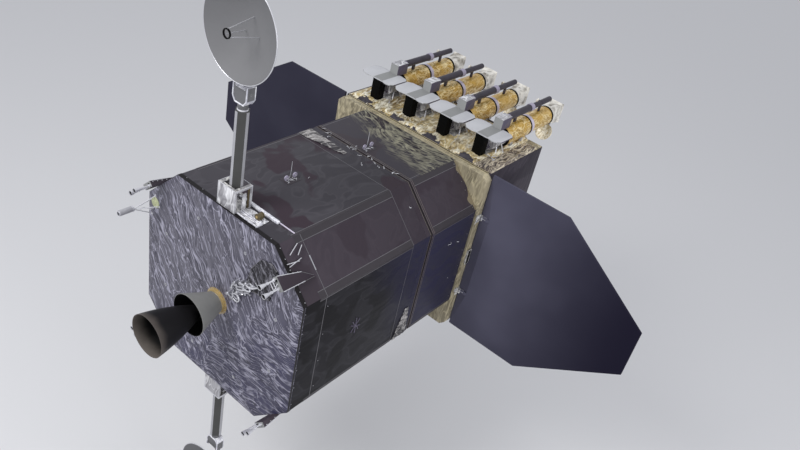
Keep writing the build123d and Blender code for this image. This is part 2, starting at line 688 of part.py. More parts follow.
def radiator(y):
    """Kinked radiator plate with the camera box on its front end."""
    plate_z = (PLATE_BOTTOM, PLATE_BOTTOM + PLATE_THICKNESS)
    body = block((STRIPE_START, STRIPE_END), (y - STRIPE_HALF, y + STRIPE_HALF), plate_z)
    for side in (-1, 1):
        outline = [(x, y + side * distance) for x, distance in WING_OUTLINE]
        wing = bar_z(outline, plate_z)
        corners = wing.edges().filter_by(Axis.Z).sort_by(lambda edge: abs(edge.center().Y - y))[2:]
        wing = fillet(corners, WING_CORNER)
        fold = Axis((0, y + side * WING_ROOT, PLATE_BOTTOM), (1, 0, 0))
        body += wing.rotate(fold, side * WING_ANGLE)
    box_y = (y - CAMERA_BOX_HALF, y + CAMERA_BOX_HALF)
    body += block(CAMERA_BOX_X, box_y, (PLATE_BOTTOM, PLATE_BOTTOM + CAMERA_BOX_HEIGHT))
    return body


def electronics_box(y):
    """Black electronics box under the plate, standing on the module."""
    return block(BOX_X, (y + BOX_Y[0], y + BOX_Y[1]), (MODULE_TOP, PLATE_BOTTOM))


def saddle(y):
    """Cradle under the tube: two cheeks on a low ridge."""
    ends = (CELL_START - 50, TUBE_START + 400)
    ridge = block(ends, (y - 80, y + 80), (MODULE_TOP, MODULE_TOP + TUBE_LIFT - 6))
    for start in (TUBE_START + 100, TUBE_START + 320):
        ridge += block((start, start + 60), (y - 105, y + 105), (MODULE_TOP, TUBE_Z - 40))
    return ridge - rod((ends[0] - 50, y, TUBE_Z), (ends[1] + 50, y, TUBE_Z), TUBE_RADIUS)


def write_parts():
    save("aft_deck", aft_deck())
    save("bus_rear", bus_section(DECK_THICKNESS, BAND_START))
    save("bus_band", bus_section(BAND_START, BAND_END, BAND_RECESS))
    save("bus_front", bus_section(BAND_END, BUS_LENGTH))
    save("deck_slab", deck_slab())
    save("instrument_module", instrument_module())
    save("front_apertures", front_apertures())
    save("array_left", array_panel(1))
    save("array_right", array_panel(-1))
    save("array_hinges", array_hinges())
    save("engine_ring", engine_ring())
    save("engine_shield", engine_shield())
    upper, extension = engine_bell()
    save("engine_bell", upper)
    save("engine_extension", extension)
    save("thruster_pods", thruster_pods())
    save("thrusters", thrusters())
    save("boom_sensor", boom_sensor())
    save("service_panel", service_panel())
    save("boom_restraints", boom_restraints() + [bottom(piece) for piece in boom_restraints()])
    save("base_rails", base_rails() + [bottom(piece) for piece in base_rails()])
    for name, build in (
        ("antenna_base", antenna_base),
        ("mast", mast),
        ("gimbal", gimbal),
        ("dish", dish),
        ("feed", feed),
    ):
        piece = build()
        save(f"{name}_top", [piece])
        save(f"{name}_bottom", [bottom(piece)])
    for number, y in enumerate(TELESCOPES, start=1):
        save(f"telescope_tube_{number}", [tube(y)])
        save(f"telescope_hood_{number}", [hood(y)])
        save(f"telescope_door_{number}", [door(y)])
        save(f"radiator_{number}", [radiator(y)])
    save("guide_scopes", [guide_scope(y) for y in TELESCOPES])
    save("electronics_boxes", [electronics_box(y) for y in TELESCOPES])
    save("telescope_saddles", [saddle(y) for y in TELESCOPES])


write_parts()
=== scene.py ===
from math import cos, pi, radians, sin
from random import Random

import bmesh
import bpy
from mathutils import Matrix, Vector, noise
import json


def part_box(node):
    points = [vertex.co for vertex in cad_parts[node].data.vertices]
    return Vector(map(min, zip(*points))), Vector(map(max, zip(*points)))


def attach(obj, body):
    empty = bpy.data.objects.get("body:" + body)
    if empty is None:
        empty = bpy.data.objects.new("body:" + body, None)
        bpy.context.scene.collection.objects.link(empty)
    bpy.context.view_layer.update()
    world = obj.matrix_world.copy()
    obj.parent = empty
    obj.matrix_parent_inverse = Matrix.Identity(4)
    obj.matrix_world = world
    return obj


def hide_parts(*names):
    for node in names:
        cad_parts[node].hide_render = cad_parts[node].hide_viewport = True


bl_info = {
    "name": "Solar observatory satellite",
    "version": (1, 0, 0),
    "blender": (4, 5, 0),
    "location": "3D View > Sidebar > Satellite",
    "description": "Dresses the packed satellite with blankets, films, fittings and finishes",
    "category": "Object",
}

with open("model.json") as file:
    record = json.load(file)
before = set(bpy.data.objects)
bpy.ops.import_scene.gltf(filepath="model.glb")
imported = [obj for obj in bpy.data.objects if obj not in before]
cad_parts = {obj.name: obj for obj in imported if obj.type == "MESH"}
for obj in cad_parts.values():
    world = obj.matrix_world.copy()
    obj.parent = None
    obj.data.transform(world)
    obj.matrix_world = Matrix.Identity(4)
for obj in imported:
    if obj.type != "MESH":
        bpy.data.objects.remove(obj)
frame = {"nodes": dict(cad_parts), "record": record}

# Sizes in metres, read from the frame where a node gives them

BUS_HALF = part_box("aft_deck")[1][1]
BUS_CHAMFER = 0.41
BUS_FLAT = BUS_HALF - BUS_CHAMFER
BAND = (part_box("bus_band")[0][0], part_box("bus_band")[1][0])
CHAMFER_REACH = (2 * BUS_HALF - BUS_CHAMFER) / 2 ** 0.5
CHAMFER_HALF = BUS_CHAMFER / 2 ** 0.5
SLAB_LOW, SLAB_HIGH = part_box("deck_slab")
MODULE_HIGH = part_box("instrument_module")[1]
ADAPTER_RADIUS = 0.833
RING_DEPTH = 0.035
NUMBERS = (1, 2, 3, 4)
TUBES = {number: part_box(f"telescope_tube_{number}") for number in NUMBERS}
TELESCOPE_Y = {number: (low[1] + high[1]) / 2 for number, (low, high) in TUBES.items()}
TUBE_LOW, TUBE_HIGH = TUBES[1]
TUBE_Z = (TUBE_LOW[2] + TUBE_HIGH[2]) / 2
TUBE_RADIUS = (TUBE_HIGH[2] - TUBE_LOW[2]) / 2
FRONT_RADIUS = TUBE_RADIUS - 0.008
CELL_START = TUBE_LOW[0]
CELL_RADIUS = 0.092
TUBE_START = CELL_START + 0.2
TUBE_STEP = TUBE_START + 0.505
TUBE_OPEN = TUBE_STEP + 0.155
TUBE_END = TUBE_HIGH[0]
HOOD_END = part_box("telescope_hood_1")[1][0] - 0.005
HOOD_HALF = (0.1, 0.125)
APERTURE_RADIUS = 0.086
DOOR_HINGE = (HOOD_END - 0.004, TUBE_Z - HOOD_HALF[1] - 0.027)
DOOR_FACE = HOOD_END + 0.011
DOOR_RADIUS = 0.105
DOOR_OPEN = 215
GUIDE_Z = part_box("guide_scopes")[1][2] - 0.047
PLATE_LOW, PLATE_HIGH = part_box("radiator_1")
PLATE_TOP = PLATE_LOW[2] + 0.012
HINGE_Z = (0.511, -0.529)
BOX_LOW, BOX_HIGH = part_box("electronics_boxes")
BASE_LOW, BASE_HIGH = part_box("antenna_base_top")
BOOM_X = BASE_HIGH[0] - 0.085
MAST_ENDS = (BASE_HIGH[2] - 0.018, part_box("mast_top")[1][2])
YOKE_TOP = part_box("gimbal_top")[1][2]
YOKE_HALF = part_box("gimbal_top")[1][1] - 0.002
YOKE_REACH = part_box("gimbal_top")[1][0] - BOOM_X
TRUNNION_Z = YOKE_TOP - 0.06
DISH_X = 0.015
DISH_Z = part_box("dish_top")[1][2] - 0.418
DISH_RADIUS = 0.409
DISH_DEPTH = 0.15
FEED_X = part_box("feed_top")[0][0]
FEED_RADIUS = 0.041
SENSOR_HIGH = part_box("boom_sensor")[1]
FOLD_SEED = 7
MERGE = 0.00002
FILM = 0.0008
THIN_FILM = 0.0006
DECK_HEIGHT = BUS_HALF + 0.001
TORN_EDGE = (
    (-0.37, 0.464), (-0.422, 0.67), (-0.52, 0.825), (-0.639, 0.866), (-0.726, 0.833), (-0.735, 0.771),
    (-0.70, 0.62), (-0.673, 0.48), (-0.59, 0.44), (-0.525, 0.454), (-0.45, 0.43),
)
VALVES = ((-0.18, 0.24), (-0.23, 0.34), (-0.30, 0.33), (-0.33, 0.46), (-0.26, 0.42), (-0.40, 0.50))
# Short bright wires on the bus film that stand for its glints: painted highlights
GLINT_WIRES = (
    # Bus face, x and distance from the middle of the face
    (0, 1.712, 0.009), (0, 1.608, 0.172), (0, 1.769, 0.452), (0, 1.728, 0.3),
    (0, 1.64, -0.30), (0, 1.72, -0.42), (0, 1.76, -0.50), (1, 1.66, -0.05), (2, 2.187, -0.333),
    (2, 2.363, -0.307), (2, 2.375, 0.202), (0, 1.835, -0.12), (0, 0.97, 0.05),
)
POD_EDGES = (
    # x, distance towards the side of the bus and height of three corners on each long edge
    ((-0.148, -0.062, 0.057), (0.118, 0.001, 0.025), (0.233, 0.075, 0.011)),
    ((-0.148, 0.077, 0.057), (0.118, 0.087, 0.025), (0.233, 0.090, 0.011)),
)
BELL_POINTS = ((-0.205, 0.050), (-0.450, 0.141), (-0.770, 0.212))
FINISHES = {}


# Small helpers


def linear(hex_colour):
    """An sRGB hex colour as linear red, green, blue and alpha."""
    value = hex_colour.lstrip("#")
    channels = [int(value[i:i + 2], 16) / 255 for i in (0, 2, 4)]
    return tuple(c / 12.92 if c <= 0.04045 else ((c + 0.055) / 1.055) ** 2.4 for c in channels) + (1.0,)


def add_node(tree, kind, settings=None, inputs=None):
    """Adds one node, sets its properties and its sockets, and links sockets that are given."""
    made = tree.nodes.new(kind)
    for name, value in (settings or {}).items():
        setattr(made, name, value)
    for name, value in (inputs or {}).items():
        if isinstance(value, bpy.types.NodeSocket):
            tree.links.new(value, made.inputs[name])
        else:
            made.inputs[name].default_value = value
    return made


# Materials


def new_material(name):
    """An empty material, its node tree, its shader and the places on the object."""
    material = bpy.data.materials.new(name)
    material.use_nodes = True
    tree = material.node_tree
    tree.nodes.clear()
    shader = add_node(tree, "ShaderNodeBsdfPrincipled")
    add_node(tree, "ShaderNodeOutputMaterial", inputs={"Surface": shader.outputs["BSDF"]})
    place = add_node(tree, "ShaderNodeTexCoord").outputs["Object"]
    return material, tree, shader, place


def maths(tree, operation, first, second=0.0):
    made = add_node(tree, "ShaderNodeMath", {"operation": operation}, {0: first, 1: second})
    return made.outputs["Value"]


def vector_maths(tree, operation, inputs):
    return add_node(tree, "ShaderNodeVectorMath", {"operation": operation}, inputs).outputs


def times(tree, first, second):
    return maths(tree, "MULTIPLY", first, second)


def clouds(tree, place, scale, detail, roughness=0.5, output="Fac"):
    """Soft noise from 0 to 1, most of it near a half."""
    made = add_node(tree, "ShaderNodeTexNoise", inputs={
        "Vector": place,
        "Scale": scale,
        "Detail": detail,
        "Roughness": roughness,
    })
    return made.outputs[output]


def drifted(tree, place, size_mm, reach_mm):
    """Places pushed about by a slow noise, so that folds bend and fan out."""
    drift = clouds(tree, place, 1000 / size_mm, 1.0, output="Color")
    centred = vector_maths(tree, "SUBTRACT", {0: drift, 1: (0.5, 0.5, 0.5)})["Vector"]
    push = vector_maths(tree, "SCALE", {0: centred, "Scale": reach_mm * 4 / 1000})["Vector"]
    return vector_maths(tree, "ADD", {0: place, 1: push})["Vector"]


def stretched(tree, place, turn, stretch):
    """Places squeezed along one direction, so that a pattern is drawn out along it."""
    mapping = add_node(tree, "ShaderNodeMapping", {"vector_type": "TEXTURE"}, {
        "Vector": place,
        "Rotation": turn,
        "Scale": (1, 1, stretch),
    })
    return mapping.outputs["Vector"]


def folds(tree, place, fold_mm):
    """Slow noise whose level lines are the folds of a film."""
    return clouds(tree, place, 1000 / (fold_mm * 2), 1.0, 0.4)


def step_of(tree, value, start, end, low=0.0, high=1.0, shape="SMOOTHSTEP"):
    """A step of a value from low at start to high at end, soft or straight."""
    ramp = add_node(tree, "ShaderNodeMapRange", {"interpolation_type": shape}, {
        "Value": value,
        "From Min": start,
        "From Max": end,
        "To Min": low,
        "To Max": high,
    })
    return ramp.outputs["Result"]


def line_at(tree, height, level, reach):
    """1 where a height is at a level, and 0 where it is further from it than reach."""
    distance = maths(tree, "ABSOLUTE", maths(tree, "SUBTRACT", height, level))
    return step_of(tree, distance, 0.0, reach, 1.0, 0.0, "LINEAR")


def along(tree, place, direction, start, end):
    """0 up to start and 1 from end on, measured along a direction."""
    reach = vector_maths(tree, "DOT_PRODUCT", {0: place, 1: direction})["Value"]
    return step_of(tree, reach, start, end)


def blended(tree, factor, first, second):
    """One value turning into another."""
    mix = add_node(tree, "ShaderNodeMix", {"data_type": "FLOAT"}, {
        "Factor": factor,
        "A": first,
        "B": second,
    })
    return mix.outputs["Result"]


def mixed(tree, factor, first, second):
    """One colour turning into another; each is a hex value or a socket."""
    colours = [linear(colour) if isinstance(colour, str) else colour for colour in (first, second)]
    mix = add_node(tree, "ShaderNodeMix", {"data_type": "RGBA"}, {
        "Factor": factor,
        "A": colours[0],
        "B": colours[1],
    })
    return mix.outputs["Result"]


def pressed(tree, shader, height, depth_mm):
    """Raises the surface by depth_mm where the height is 1."""
    bump = add_node(tree, "ShaderNodeBump", inputs={
        "Height": height,
        "Distance": depth_mm / 1000,
        "Strength": 1.0,
    })
    tree.links.new(bump.outputs["Normal"], shader.inputs["Normal"])


def surface(tree, shader, colour, metallic, roughness, specular=0.5):
    """Gives the shader its colour and its gloss."""
    tree.links.new(colour, shader.inputs["Base Color"])
    shader.inputs["Metallic"].default_value = metallic
    shader.inputs["Roughness"].default_value = roughness
    shader.inputs["Specular IOR Level"].default_value = specular


def crinkled_film(name, light, dark, fold_mm, depth_mm, metallic, roughness,
                  stretch=1.0, drift_mm=60, reach=0.11, fine=0.5):
    """Thin film pulled over soft layers: painted highlights on its folds, painted shade between them.

    fold_mm is the distance between folds, stretch how much longer they are than wide, drift_mm how
    far they wander and fine the share of the smaller folds.
    """
    material, tree, shader, place = new_material(name)
    flow = stretched(tree, drifted(tree, place, fold_mm * 12, drift_mm), (0, 0, 0), stretch)
    large = line_at(tree, folds(tree, flow, fold_mm), 0.5, reach)
    small = line_at(tree, folds(tree, flow, fold_mm * 0.43), 0.5, reach)
    height = blended(tree, fine, large, small)
    # Painted highlights on the folds over a ground of painted shade
    colour = mixed(tree, step_of(tree, height, 0.15, 0.95), dark, light)
    surface(tree, shader, colour, metallic, roughness)
    pressed(tree, shader, height, depth_mm)
    return material


def streaked_film(name, ground, light, dark, fold_mm, turn, stretch, depth_mm, metallic, roughness,
                  drift_mm=70, veer=None, ends=None, calm=0.35, tint=None, width=0.05, patch=None,
                  specular=0.5):
    """Film in long thin creases: a painted highlight along each ridge and painted shade in the hollow
    beside it.

    veer is (turn, direction, start, end): further along that direction the creases run another way.
    ends is (direction, start, end): the creases begin there and are full further on. calm is the
    strength that is left to the creases in the smooth patches. tint is (colour, direction, start,
    end): the ground turns to it along that direction. width is the share of a fold that a line takes
    and patch the colour of plain patches on the ground.
    """
    material, tree, shader, place = new_material(name)
    bent = drifted(tree, place, fold_mm * 12, drift_mm)
    flow = stretched(tree, bent, turn, stretch)
    if veer:
        other = stretched(tree, bent, veer[0], stretch)
        share = along(tree, drifted(tree, place, 260, 240), *veer[1:])

    def wave_of(size):
        wave = folds(tree, flow, size)
        return blended(tree, share, wave, folds(tree, other, size)) if veer else wave

    strength = step_of(tree, clouds(tree, place, 3.4, 1.0), 0.38, 0.52, calm, 1.0)
    if ends:
        strength = times(tree, strength, along(tree, drifted(tree, place, 160, 60), *ends))
    base = ground
    if tint:
        base = mixed(tree, along(tree, drifted(tree, place, 300, 60), *tint[1:]), ground, tint[0])
    if patch:
        spots = clouds(tree, drifted(tree, place, 240, 60), 2.4, 1.5)
        base = mixed(tree, step_of(tree, spots, 0.5, 0.54), base, patch)
    # Painted shade on the broad facets of the film
    facet_shade = times(tree, step_of(tree, wave_of(fold_mm * 2.6), 0.42, 0.58), times(tree, strength, 0.45))
    colour = mixed(tree, facet_shade, base, dark)
    uneven = clouds(tree, flow, 400 / fold_mm, 1.0)
    reach = step_of(tree, uneven, 0.3, 0.7, width * 0.4, width * 1.8)
    for size, weight in ((fold_mm, 1.0), (fold_mm * 0.45, 0.6)):
        wave = wave_of(size)
        part = times(tree, strength, weight)
        # Painted shade in the hollow beside each ridge, a painted highlight along the ridge
        valley_shade = times(tree, line_at(tree, wave, 0.53 - 1.6 * width, reach), part)
        crest_highlight = times(tree, line_at(tree, wave, 0.53, reach), part)
        colour = mixed(tree, crest_highlight, mixed(tree, valley_shade, colour, dark), light)
    surface(tree, shader, colour, metallic, roughness, specular)
    pressed(tree, shader, crest_highlight, depth_mm)
    return material


def satin_film(name, ground, patch, line, turn, flow_mm=60, amount=0.45, tint=None, overlap=None):
    """Black film drawn tight: soft flowing lines of painted sheen on the ground and plain darker patches.

    amount is the strength of the lines. tint is (colour, direction, start, end): the ground turns to
    it along that direction. overlap is (colour, x): from there on another film covers this one with
    a ragged edge.
    """
    material, tree, shader, place = new_material(name)
    wave = folds(tree, stretched(tree, drifted(tree, place, 620, 170), turn, 4.0), flow_mm)
    spots = clouds(tree, drifted(tree, place, 240, 60), 2.1, 1.5)
    patches = step_of(tree, spots, 0.54, 0.58)
    base = linear(ground)
    if tint:
        share = along(tree, place, *tint[1:])
        base = mixed(tree, share, ground, tint[0])
        patches = times(tree, patches, step_of(tree, share, 0.0, 0.6, 1.0, 0.0))
    # Painted sheen along the slow waves of the film
    for layer in (step_of(tree, wave, 0.4, 0.6, 0.0, 0.5), line_at(tree, wave, 0.5, 0.05)):
        base = mixed(tree, times(tree, layer, amount), base, line)
    colour = mixed(tree, patches, base, patch)
    if overlap:
        ragged = along(tree, drifted(tree, place, 150, 45), (1, 0, 0), overlap[1], overlap[1] + 0.008)
        colour = mixed(tree, ragged, colour, overlap[0])
    surface(tree, shader, colour, 0.0, 0.46, 0.1)
    pressed(tree, shader, wave, 6)
    return material


def plain_finish(name, colour, shade, grain_mm, metallic, roughness, depth_mm=0.05, cloud_mm=110,
                 specular=0.5):
    """A hard surface with faint cloudy shading and a fine grain."""
    material, tree, shader, place = new_material(name)
    grain = clouds(tree, place, 1000 / (grain_mm * 3), 2.0)
    shading = mixed(tree, clouds(tree, place, 1000 / cloud_mm, 4.0), colour, shade)
    surface(tree, shader, shading, metallic, roughness, specular)
    rough = step_of(tree, grain, 0.0, 1.0, max(roughness - 0.08, 0.02), roughness + 0.08)
    tree.links.new(rough, shader.inputs["Roughness"])
    pressed(tree, shader, grain, depth_mm)
    return material


def shade_graded_metal(name, lip, deep, lip_x, deep_x):
    """Metal whose colour turns from its lip to painted shade towards its throat."""
    material, tree, shader, place = new_material(name)
    # Painted shade from the lip into the nozzle
    painted_shade = along(tree, drifted(tree, place, 90, 12), (1, 0, 0), lip_x, deep_x)
    surface(tree, shader, mixed(tree, painted_shade, lip, deep), 0.2, 0.5, 0.25)
    return material


def panel_sheet(name, shaded, root, tip):
    """Carbon sheet with painted light and shade: the far panel is even and darker, the near one lighter at
    its root and darker towards its tip.
    """
    material, tree, shader, place = new_material(name)
    # Painted shade on the far panel and painted light at the near panel's root, fading to its tip
    panel = mixed(tree, along(tree, place, (0, -1, 0), -1.0, 1.0), shaded, root)
    ground = mixed(tree, along(tree, place, (0, -1, 0), 1.0, 3.1), panel, tip)
    cloud = step_of(tree, clouds(tree, place, 1.4, 2.0), 0.3, 0.7, 0.0, 0.25)
    surface(tree, shader, mixed(tree, cloud, ground, tip), 0.0, 0.5, 0.04)
    pressed(tree, shader, clouds(tree, place, 160.0, 1.0), 0.05)
    return material


def cell_sheet(name):
    """Solar cells under cover glass, 40 by 80 mm, with the pale gaps between them."""
    material, tree, shader, place = new_material(name)
    parts = add_node(tree, "ShaderNodeSeparateXYZ", inputs={"Vector": place})
    flat = add_node(tree, "ShaderNodeCombineXYZ", inputs={"X": parts.outputs["Z"], "Y": parts.outputs["Y"]})
    cells = add_node(tree, "ShaderNodeTexBrick", {"offset": 0.0, "squash": 1.0}, {
        "Vector": flat.outputs["Vector"],
        "Color1": linear("#1c2450"),
        "Color2": linear("#232c60"),
        "Mortar": linear("#8a8c98"),
        "Scale": 1.0,
        "Mortar Size": 0.0016,
        "Mortar Smooth": 0.2,
        "Brick Width": 0.08,
        "Row Height": 0.04,
    })
    surface(tree, shader, cells.outputs["Color"], 0.0, 0.12)
    pressed(tree, shader, maths(tree, "SUBTRACT", 1.0, cells.outputs["Fac"]), 0.4)
    shader.inputs["IOR"].default_value = 1.5
    shader.inputs["Coat Weight"].default_value = 0.6
    return material


def make_materials():
    """Every finish of the satellite, by name."""
    leaning = (radians(-30), 0, 0)
    level = (radians(84), 0, 0)
    along_bus = (0, radians(75), radians(12))
    fore_and_aft = (0, radians(88), radians(4))
    upright = (0, 0, 0)
    return {
        # Aluminised film on the aft deck: long thin creases on a violet grey ground, which turns darker
        # towards the lower near corner with painted shade
        "foil_aft": streaked_film(
            "Aluminised film, aft", "#605e6a", "#b0aebf", "#302e3e", 30, leaning, 6.5, 3.0, 0.2, 0.42,
            drift_mm=50, veer=(level, (0, -0.75, -0.66), 0.34, 0.5), calm=0.6,
            # Painted shade: the ground grows darker and more violet towards the lower near corner
            tint=("#353350", (0, -0.6, -0.8), -0.2, 0.6), width=0.04),
        # Carbon filled black film, drawn tight: nearly smooth, with slow waves and painted sheen along them
        "foil_dark": satin_film("Black film, decks", "#3c3a3f", "#382f36", "#504e53", along_bus),
        "film_chamfer": satin_film(
            "Black film, corner panels", "#3e383f", "#3a333a", "#484148", (0, radians(85), radians(80)),
            amount=0.35, overlap=("#857b66", 2.545)),
        "film_side": satin_film(
            "Black film, sides", "#1c1b1f", "#161518", "#38373c", (0, radians(88), 0), amount=0.4,
            tint=("#2f2e42", (0.92, 0, 0.38), 0.9, 1.7)),
        "foil_strip": satin_film(
            "Grey film, module edge", "#403d43", "#39363b", "#5c595e", (radians(88), 0, 0)),
        "foil_module": satin_film(
            "Black film, instruments", "#342f38", "#2c2730", "#4a444c", (0, radians(6), 0),
            flow_mm=40, amount=0.4),
        # The same film where it is loose or creased: pale lines of painted highlight along its folds, and
        # on the torn film a dark ground of painted shade
        "film_torn": streaked_film(
            "Torn film over painted shade", "#26242b", "#8f8d97", "#0e0d10", 34, (radians(-34), 0, 0), 3.5, 5, 0.1, 0.4,
            calm=0.8),
        "film_loose": streaked_film(
            "Black film, loose", "#3e3b3f", "#b4b0ae", "#211f22", 26, (radians(90), 0, radians(50)), 4.0,
            4, 0.1, 0.38, calm=0.85, width=0.08),
        "foil_frost": streaked_film(
            "Black film, frosted creases", "#3d3a40", "#95927f", "#29252b", 27,
            (radians(90), 0, radians(-22)), 4.5, 3, 0.0, 0.42, drift_mm=40,
            veer=((radians(90), 0, radians(18)), (0, -1, 0), -0.25, 0.35),
            ends=((1, -0.22, 0), 2.02, 2.40), calm=0.6, width=0.09, patch="#3d373c", specular=0.12),
        # Aged polyimide film: matt tan with faint strokes of painted highlight and shade across the slab's
        # edge
        "foil_tan": streaked_film(
            "Tan polyimide film", "#9f967f", "#c2b798", "#736b57", 34, upright, 4.5, 3, 0.0, 0.44,
            drift_mm=35, calm=0.4, width=0.06, specular=0.3),
        # Polyimide film over an aluminised back: amber ground, white glints painted on its folds with
        # painted shade beside them
        "foil_cream": streaked_film(
            "Gold polyimide film, crumpled", "#dbc691", "#fffbe8", "#77613c", 34, fore_and_aft, 3.4, 5,
            0.25, 0.3, drift_mm=60, calm=0.7, width=0.08),
        "foil_shoulder": streaked_film(
            "Bronze film, instruments", "#6d6059", "#efe2c8", "#30292c", 24, fore_and_aft, 6.5, 5, 0.2,
            0.36, drift_mm=35, calm=0.8, width=0.08),
        "door_film": crinkled_film(
            "Cream film, doors", "#f2ead4", "#b7a67e", 34, 2, 0.15, 0.4, stretch=1.5, drift_mm=30,
            reach=0.2),
        # Glass cloth facing: soft white folds, painted highlights with painted shade between them
        "foil_white": crinkled_film(
            "White glass cloth blanket", "#f0f0f4", "#bcbcc6", 30, 3, 0.0, 0.42, stretch=2.0, drift_mm=20,
            reach=0.16),
        # Vapour deposited gold: a strong yellow gloss with blurred bright patches, painted highlights and
        # painted shade along its creases
        "foil_gold": streaked_film(
            "Gold coated film", "#d0a647", "#fbe6ae", "#a37d30", 22, (0, radians(90), 0), 2.2, 2.5, 0.4,
            0.28, drift_mm=30, width=0.08),
        # Vapour deposited silver: grey hollows of painted shade and white ridges of painted highlight
        "foil_silver": crinkled_film(
            "Silver coated film", "#e6e4df", "#8d8c8e", 42, 4, 0.2, 0.34, stretch=1.3, drift_mm=30,
            reach=0.14),
        "hood_film": crinkled_film(
            "Silver film, hoods", "#f4f0e6", "#8f887c", 70, 8, 0.3, 0.3, stretch=1.3, drift_mm=30,
            reach=0.24, fine=0.4),
        "box_film": streaked_film(
            "Silver film, mast box", "#a9a8ac", "#eeeef0", "#7f7d82", 60, upright, 3.5, 2, 0.1, 0.36,
            calm=0.6),
        # Adhesive tapes over the film's edges: thin even lines, a little glossier than the film. The cream
        # lines on the slab's edges are painted highlights
        "film_groove": plain_finish("Seam film, dark", "#2c282a", "#242122", 1, 0.0, 0.45, specular=0.15),
        "tape": plain_finish("Edge tape, black film", "#3f3b40", "#393639", 1, 0.0, 0.4, specular=0.15),
        "tape_line": plain_finish("Tape border, aluminised", "#68666a", "#565458", 1, 0.1, 0.36),
        "seam_line": plain_finish("Seam edge, bronze tape", "#756c67", "#5c5450", 1, 0.1, 0.36),
        "rim_highlight": plain_finish("Edge tape, cream", "#c2b591", "#aa9d79", 1, 0.0, 0.4),
        "tube_band": plain_finish("Lilac white film band", "#d0c8d6", "#b8b0c2", 2, 0.0, 0.42),
        # Bare and coated aluminium: bright edges, a fine grain and little colour
        "metal_silver": plain_finish("Machined aluminium", "#c8c8cc", "#acacb2", 1, 0.9, 0.32),
        "strut": plain_finish("Polished thin tube", "#dedee2", "#c6c6cc", 1, 0.5, 0.3),
        "mast_edge": plain_finish("Mast edge strip, aluminium", "#b6b6ba", "#9c9ca2", 1, 0.3, 0.36),
        "metal_gold": plain_finish(
            "Chromate coated aluminium", "#c9b382", "#a48d58", 1, 0.3, 0.4, cloud_mm=30),
        "rim_dark": plain_finish(
            "Edge trim, dark anodised", "#161315", "#110f11", 1, 0.0, 0.45, specular=0.2),
        "rust": plain_finish("Brown anodised post", "#665a3e", "#4c4330", 1, 0.2, 0.4, cloud_mm=20),
        # Metal that has been hot: dull grey outside and brown at the lip; painted shade darkens the nozzle
        # towards its throat and makes the inside of the shield black
        "shield_grey": plain_finish(
            "Oxidised heat shield", "#8b8b88", "#7c7c7a", 2, 0.0, 0.5, specular=0.3),
        "shield_inside": plain_finish(
            "Shield inside, painted shade", "#040404", "#070708", 2, 0.0, 0.7, specular=0.1),
        "bell_metal": shade_graded_metal("Niobium alloy, outside", "#544e4a", "#161517", -0.775, -0.675),
        "bell_inside": shade_graded_metal("Niobium alloy, inside", "#6e6761", "#050506", -0.775, -0.62),
        # Polyurethane flat black paint: almost no gloss. It also makes the painted shadow of the ring at
        # each tube's step
        "band_black": plain_finish("Flat black paint", "#070708", "#0c0c0d", 1, 0.0, 0.6, specular=0.1),
        "box_black": plain_finish(
            "Flat black electronics box", "#040404", "#060606", 1, 0.0, 0.7, specular=0.08),
        # Zinc oxide silicate paint: chalky, no gloss
        "radiator_white": plain_finish(
            "White thermal paint", "#bfc0c3", "#b5b6ba", 1, 0.0, 0.5, specular=0.3),
        "radiator_grey": plain_finish(
            "Grey thermal paint", "#8f908f", "#858686", 1, 0.0, 0.5, specular=0.3),
        "radiator_side": plain_finish("Violet grey film", "#544e60", "#433d4e", 1, 0.0, 0.45, cloud_mm=40),
        "dish_grey": plain_finish(
            "Dish face, grey thermal paint", "#737375", "#656567", 1, 0.0, 0.68, cloud_mm=420),
        "mast_grey": plain_finish(
            "Mast composite, painted", "#4c4c4b", "#434342", 1, 0.0, 0.5, specular=0.2),
        "gimbal_grey": plain_finish("Gimbal cover, grey film", "#6c6c6e", "#5c5c5f", 1, 0.1, 0.42),
        "scope_grey": plain_finish(
            "Guide scope, dark film", "#443f4a", "#252228", 2, 0.1, 0.4, specular=0.3),
        "scope_collar": plain_finish("Guide scope collar, lilac film", "#aaa4b6", "#8c869a", 2, 0.1, 0.38),
        "patch": plain_finish("Pale yellow primer", "#bcc09c", "#9da17a", 1, 0.0, 0.5, cloud_mm=25),
        # Carbon face sheet: matt violet grey, with painted light and shade across the two panels. Cells
        # under glass: dark blue with a sharp gloss
        "array_back": panel_sheet("Carbon face sheet", "#373643", "#585767", "#1b1928"),
        "cells": cell_sheet("Solar cells under cover glass"),
        # Optics with a coating: black, smooth and glossy
        "glass": plain_finish("Coated optics", "#1a1c2c", "#10121c", 1, 0.0, 0.06, depth_mm=0.0),
    }


def dress_frame():
    """Gives every node of the frame the finish that its record names."""
    for part in frame["record"]["subparts"]:
        node = frame["nodes"][part["node"]]
        node.data.materials.clear()
        node.data.materials.append(FINISHES[part["material_slot"]])


# Mesh helpers


def paint(verts, material):
    """Gives every face round these vertices a material number."""
    for face in {face for vert in verts for face in vert.link_faces}:
        face.material_index = material


def repaint(bm, before, material):
    """Gives the faces that are new since before a material number."""
    for face in bm.faces:
        if face not in before:
            face.material_index = material


def added(bm, known):
    """The vertices that are new since the known ones."""
    return [vert for vert in bm.verts if vert not in known]


def edges_of(verts):
    """Every edge at these vertices once, in an order that doesn't change from run to run."""
    return list(dict.fromkeys(edge for vert in verts for edge in vert.link_edges))


def round_edges(bm, edges, width, clamp=False):
    bmesh.ops.bevel(bm, geom=edges, offset=width, offset_type="OFFSET", segments=2,
                    profile=0.5, affect="EDGES", material=-1, clamp_overlap=clamp)


def face_out(bm):
    """Turns every face outwards and brings the normals up to date."""
    bmesh.ops.recalc_face_normals(bm, faces=bm.faces)
    bm.normal_update()


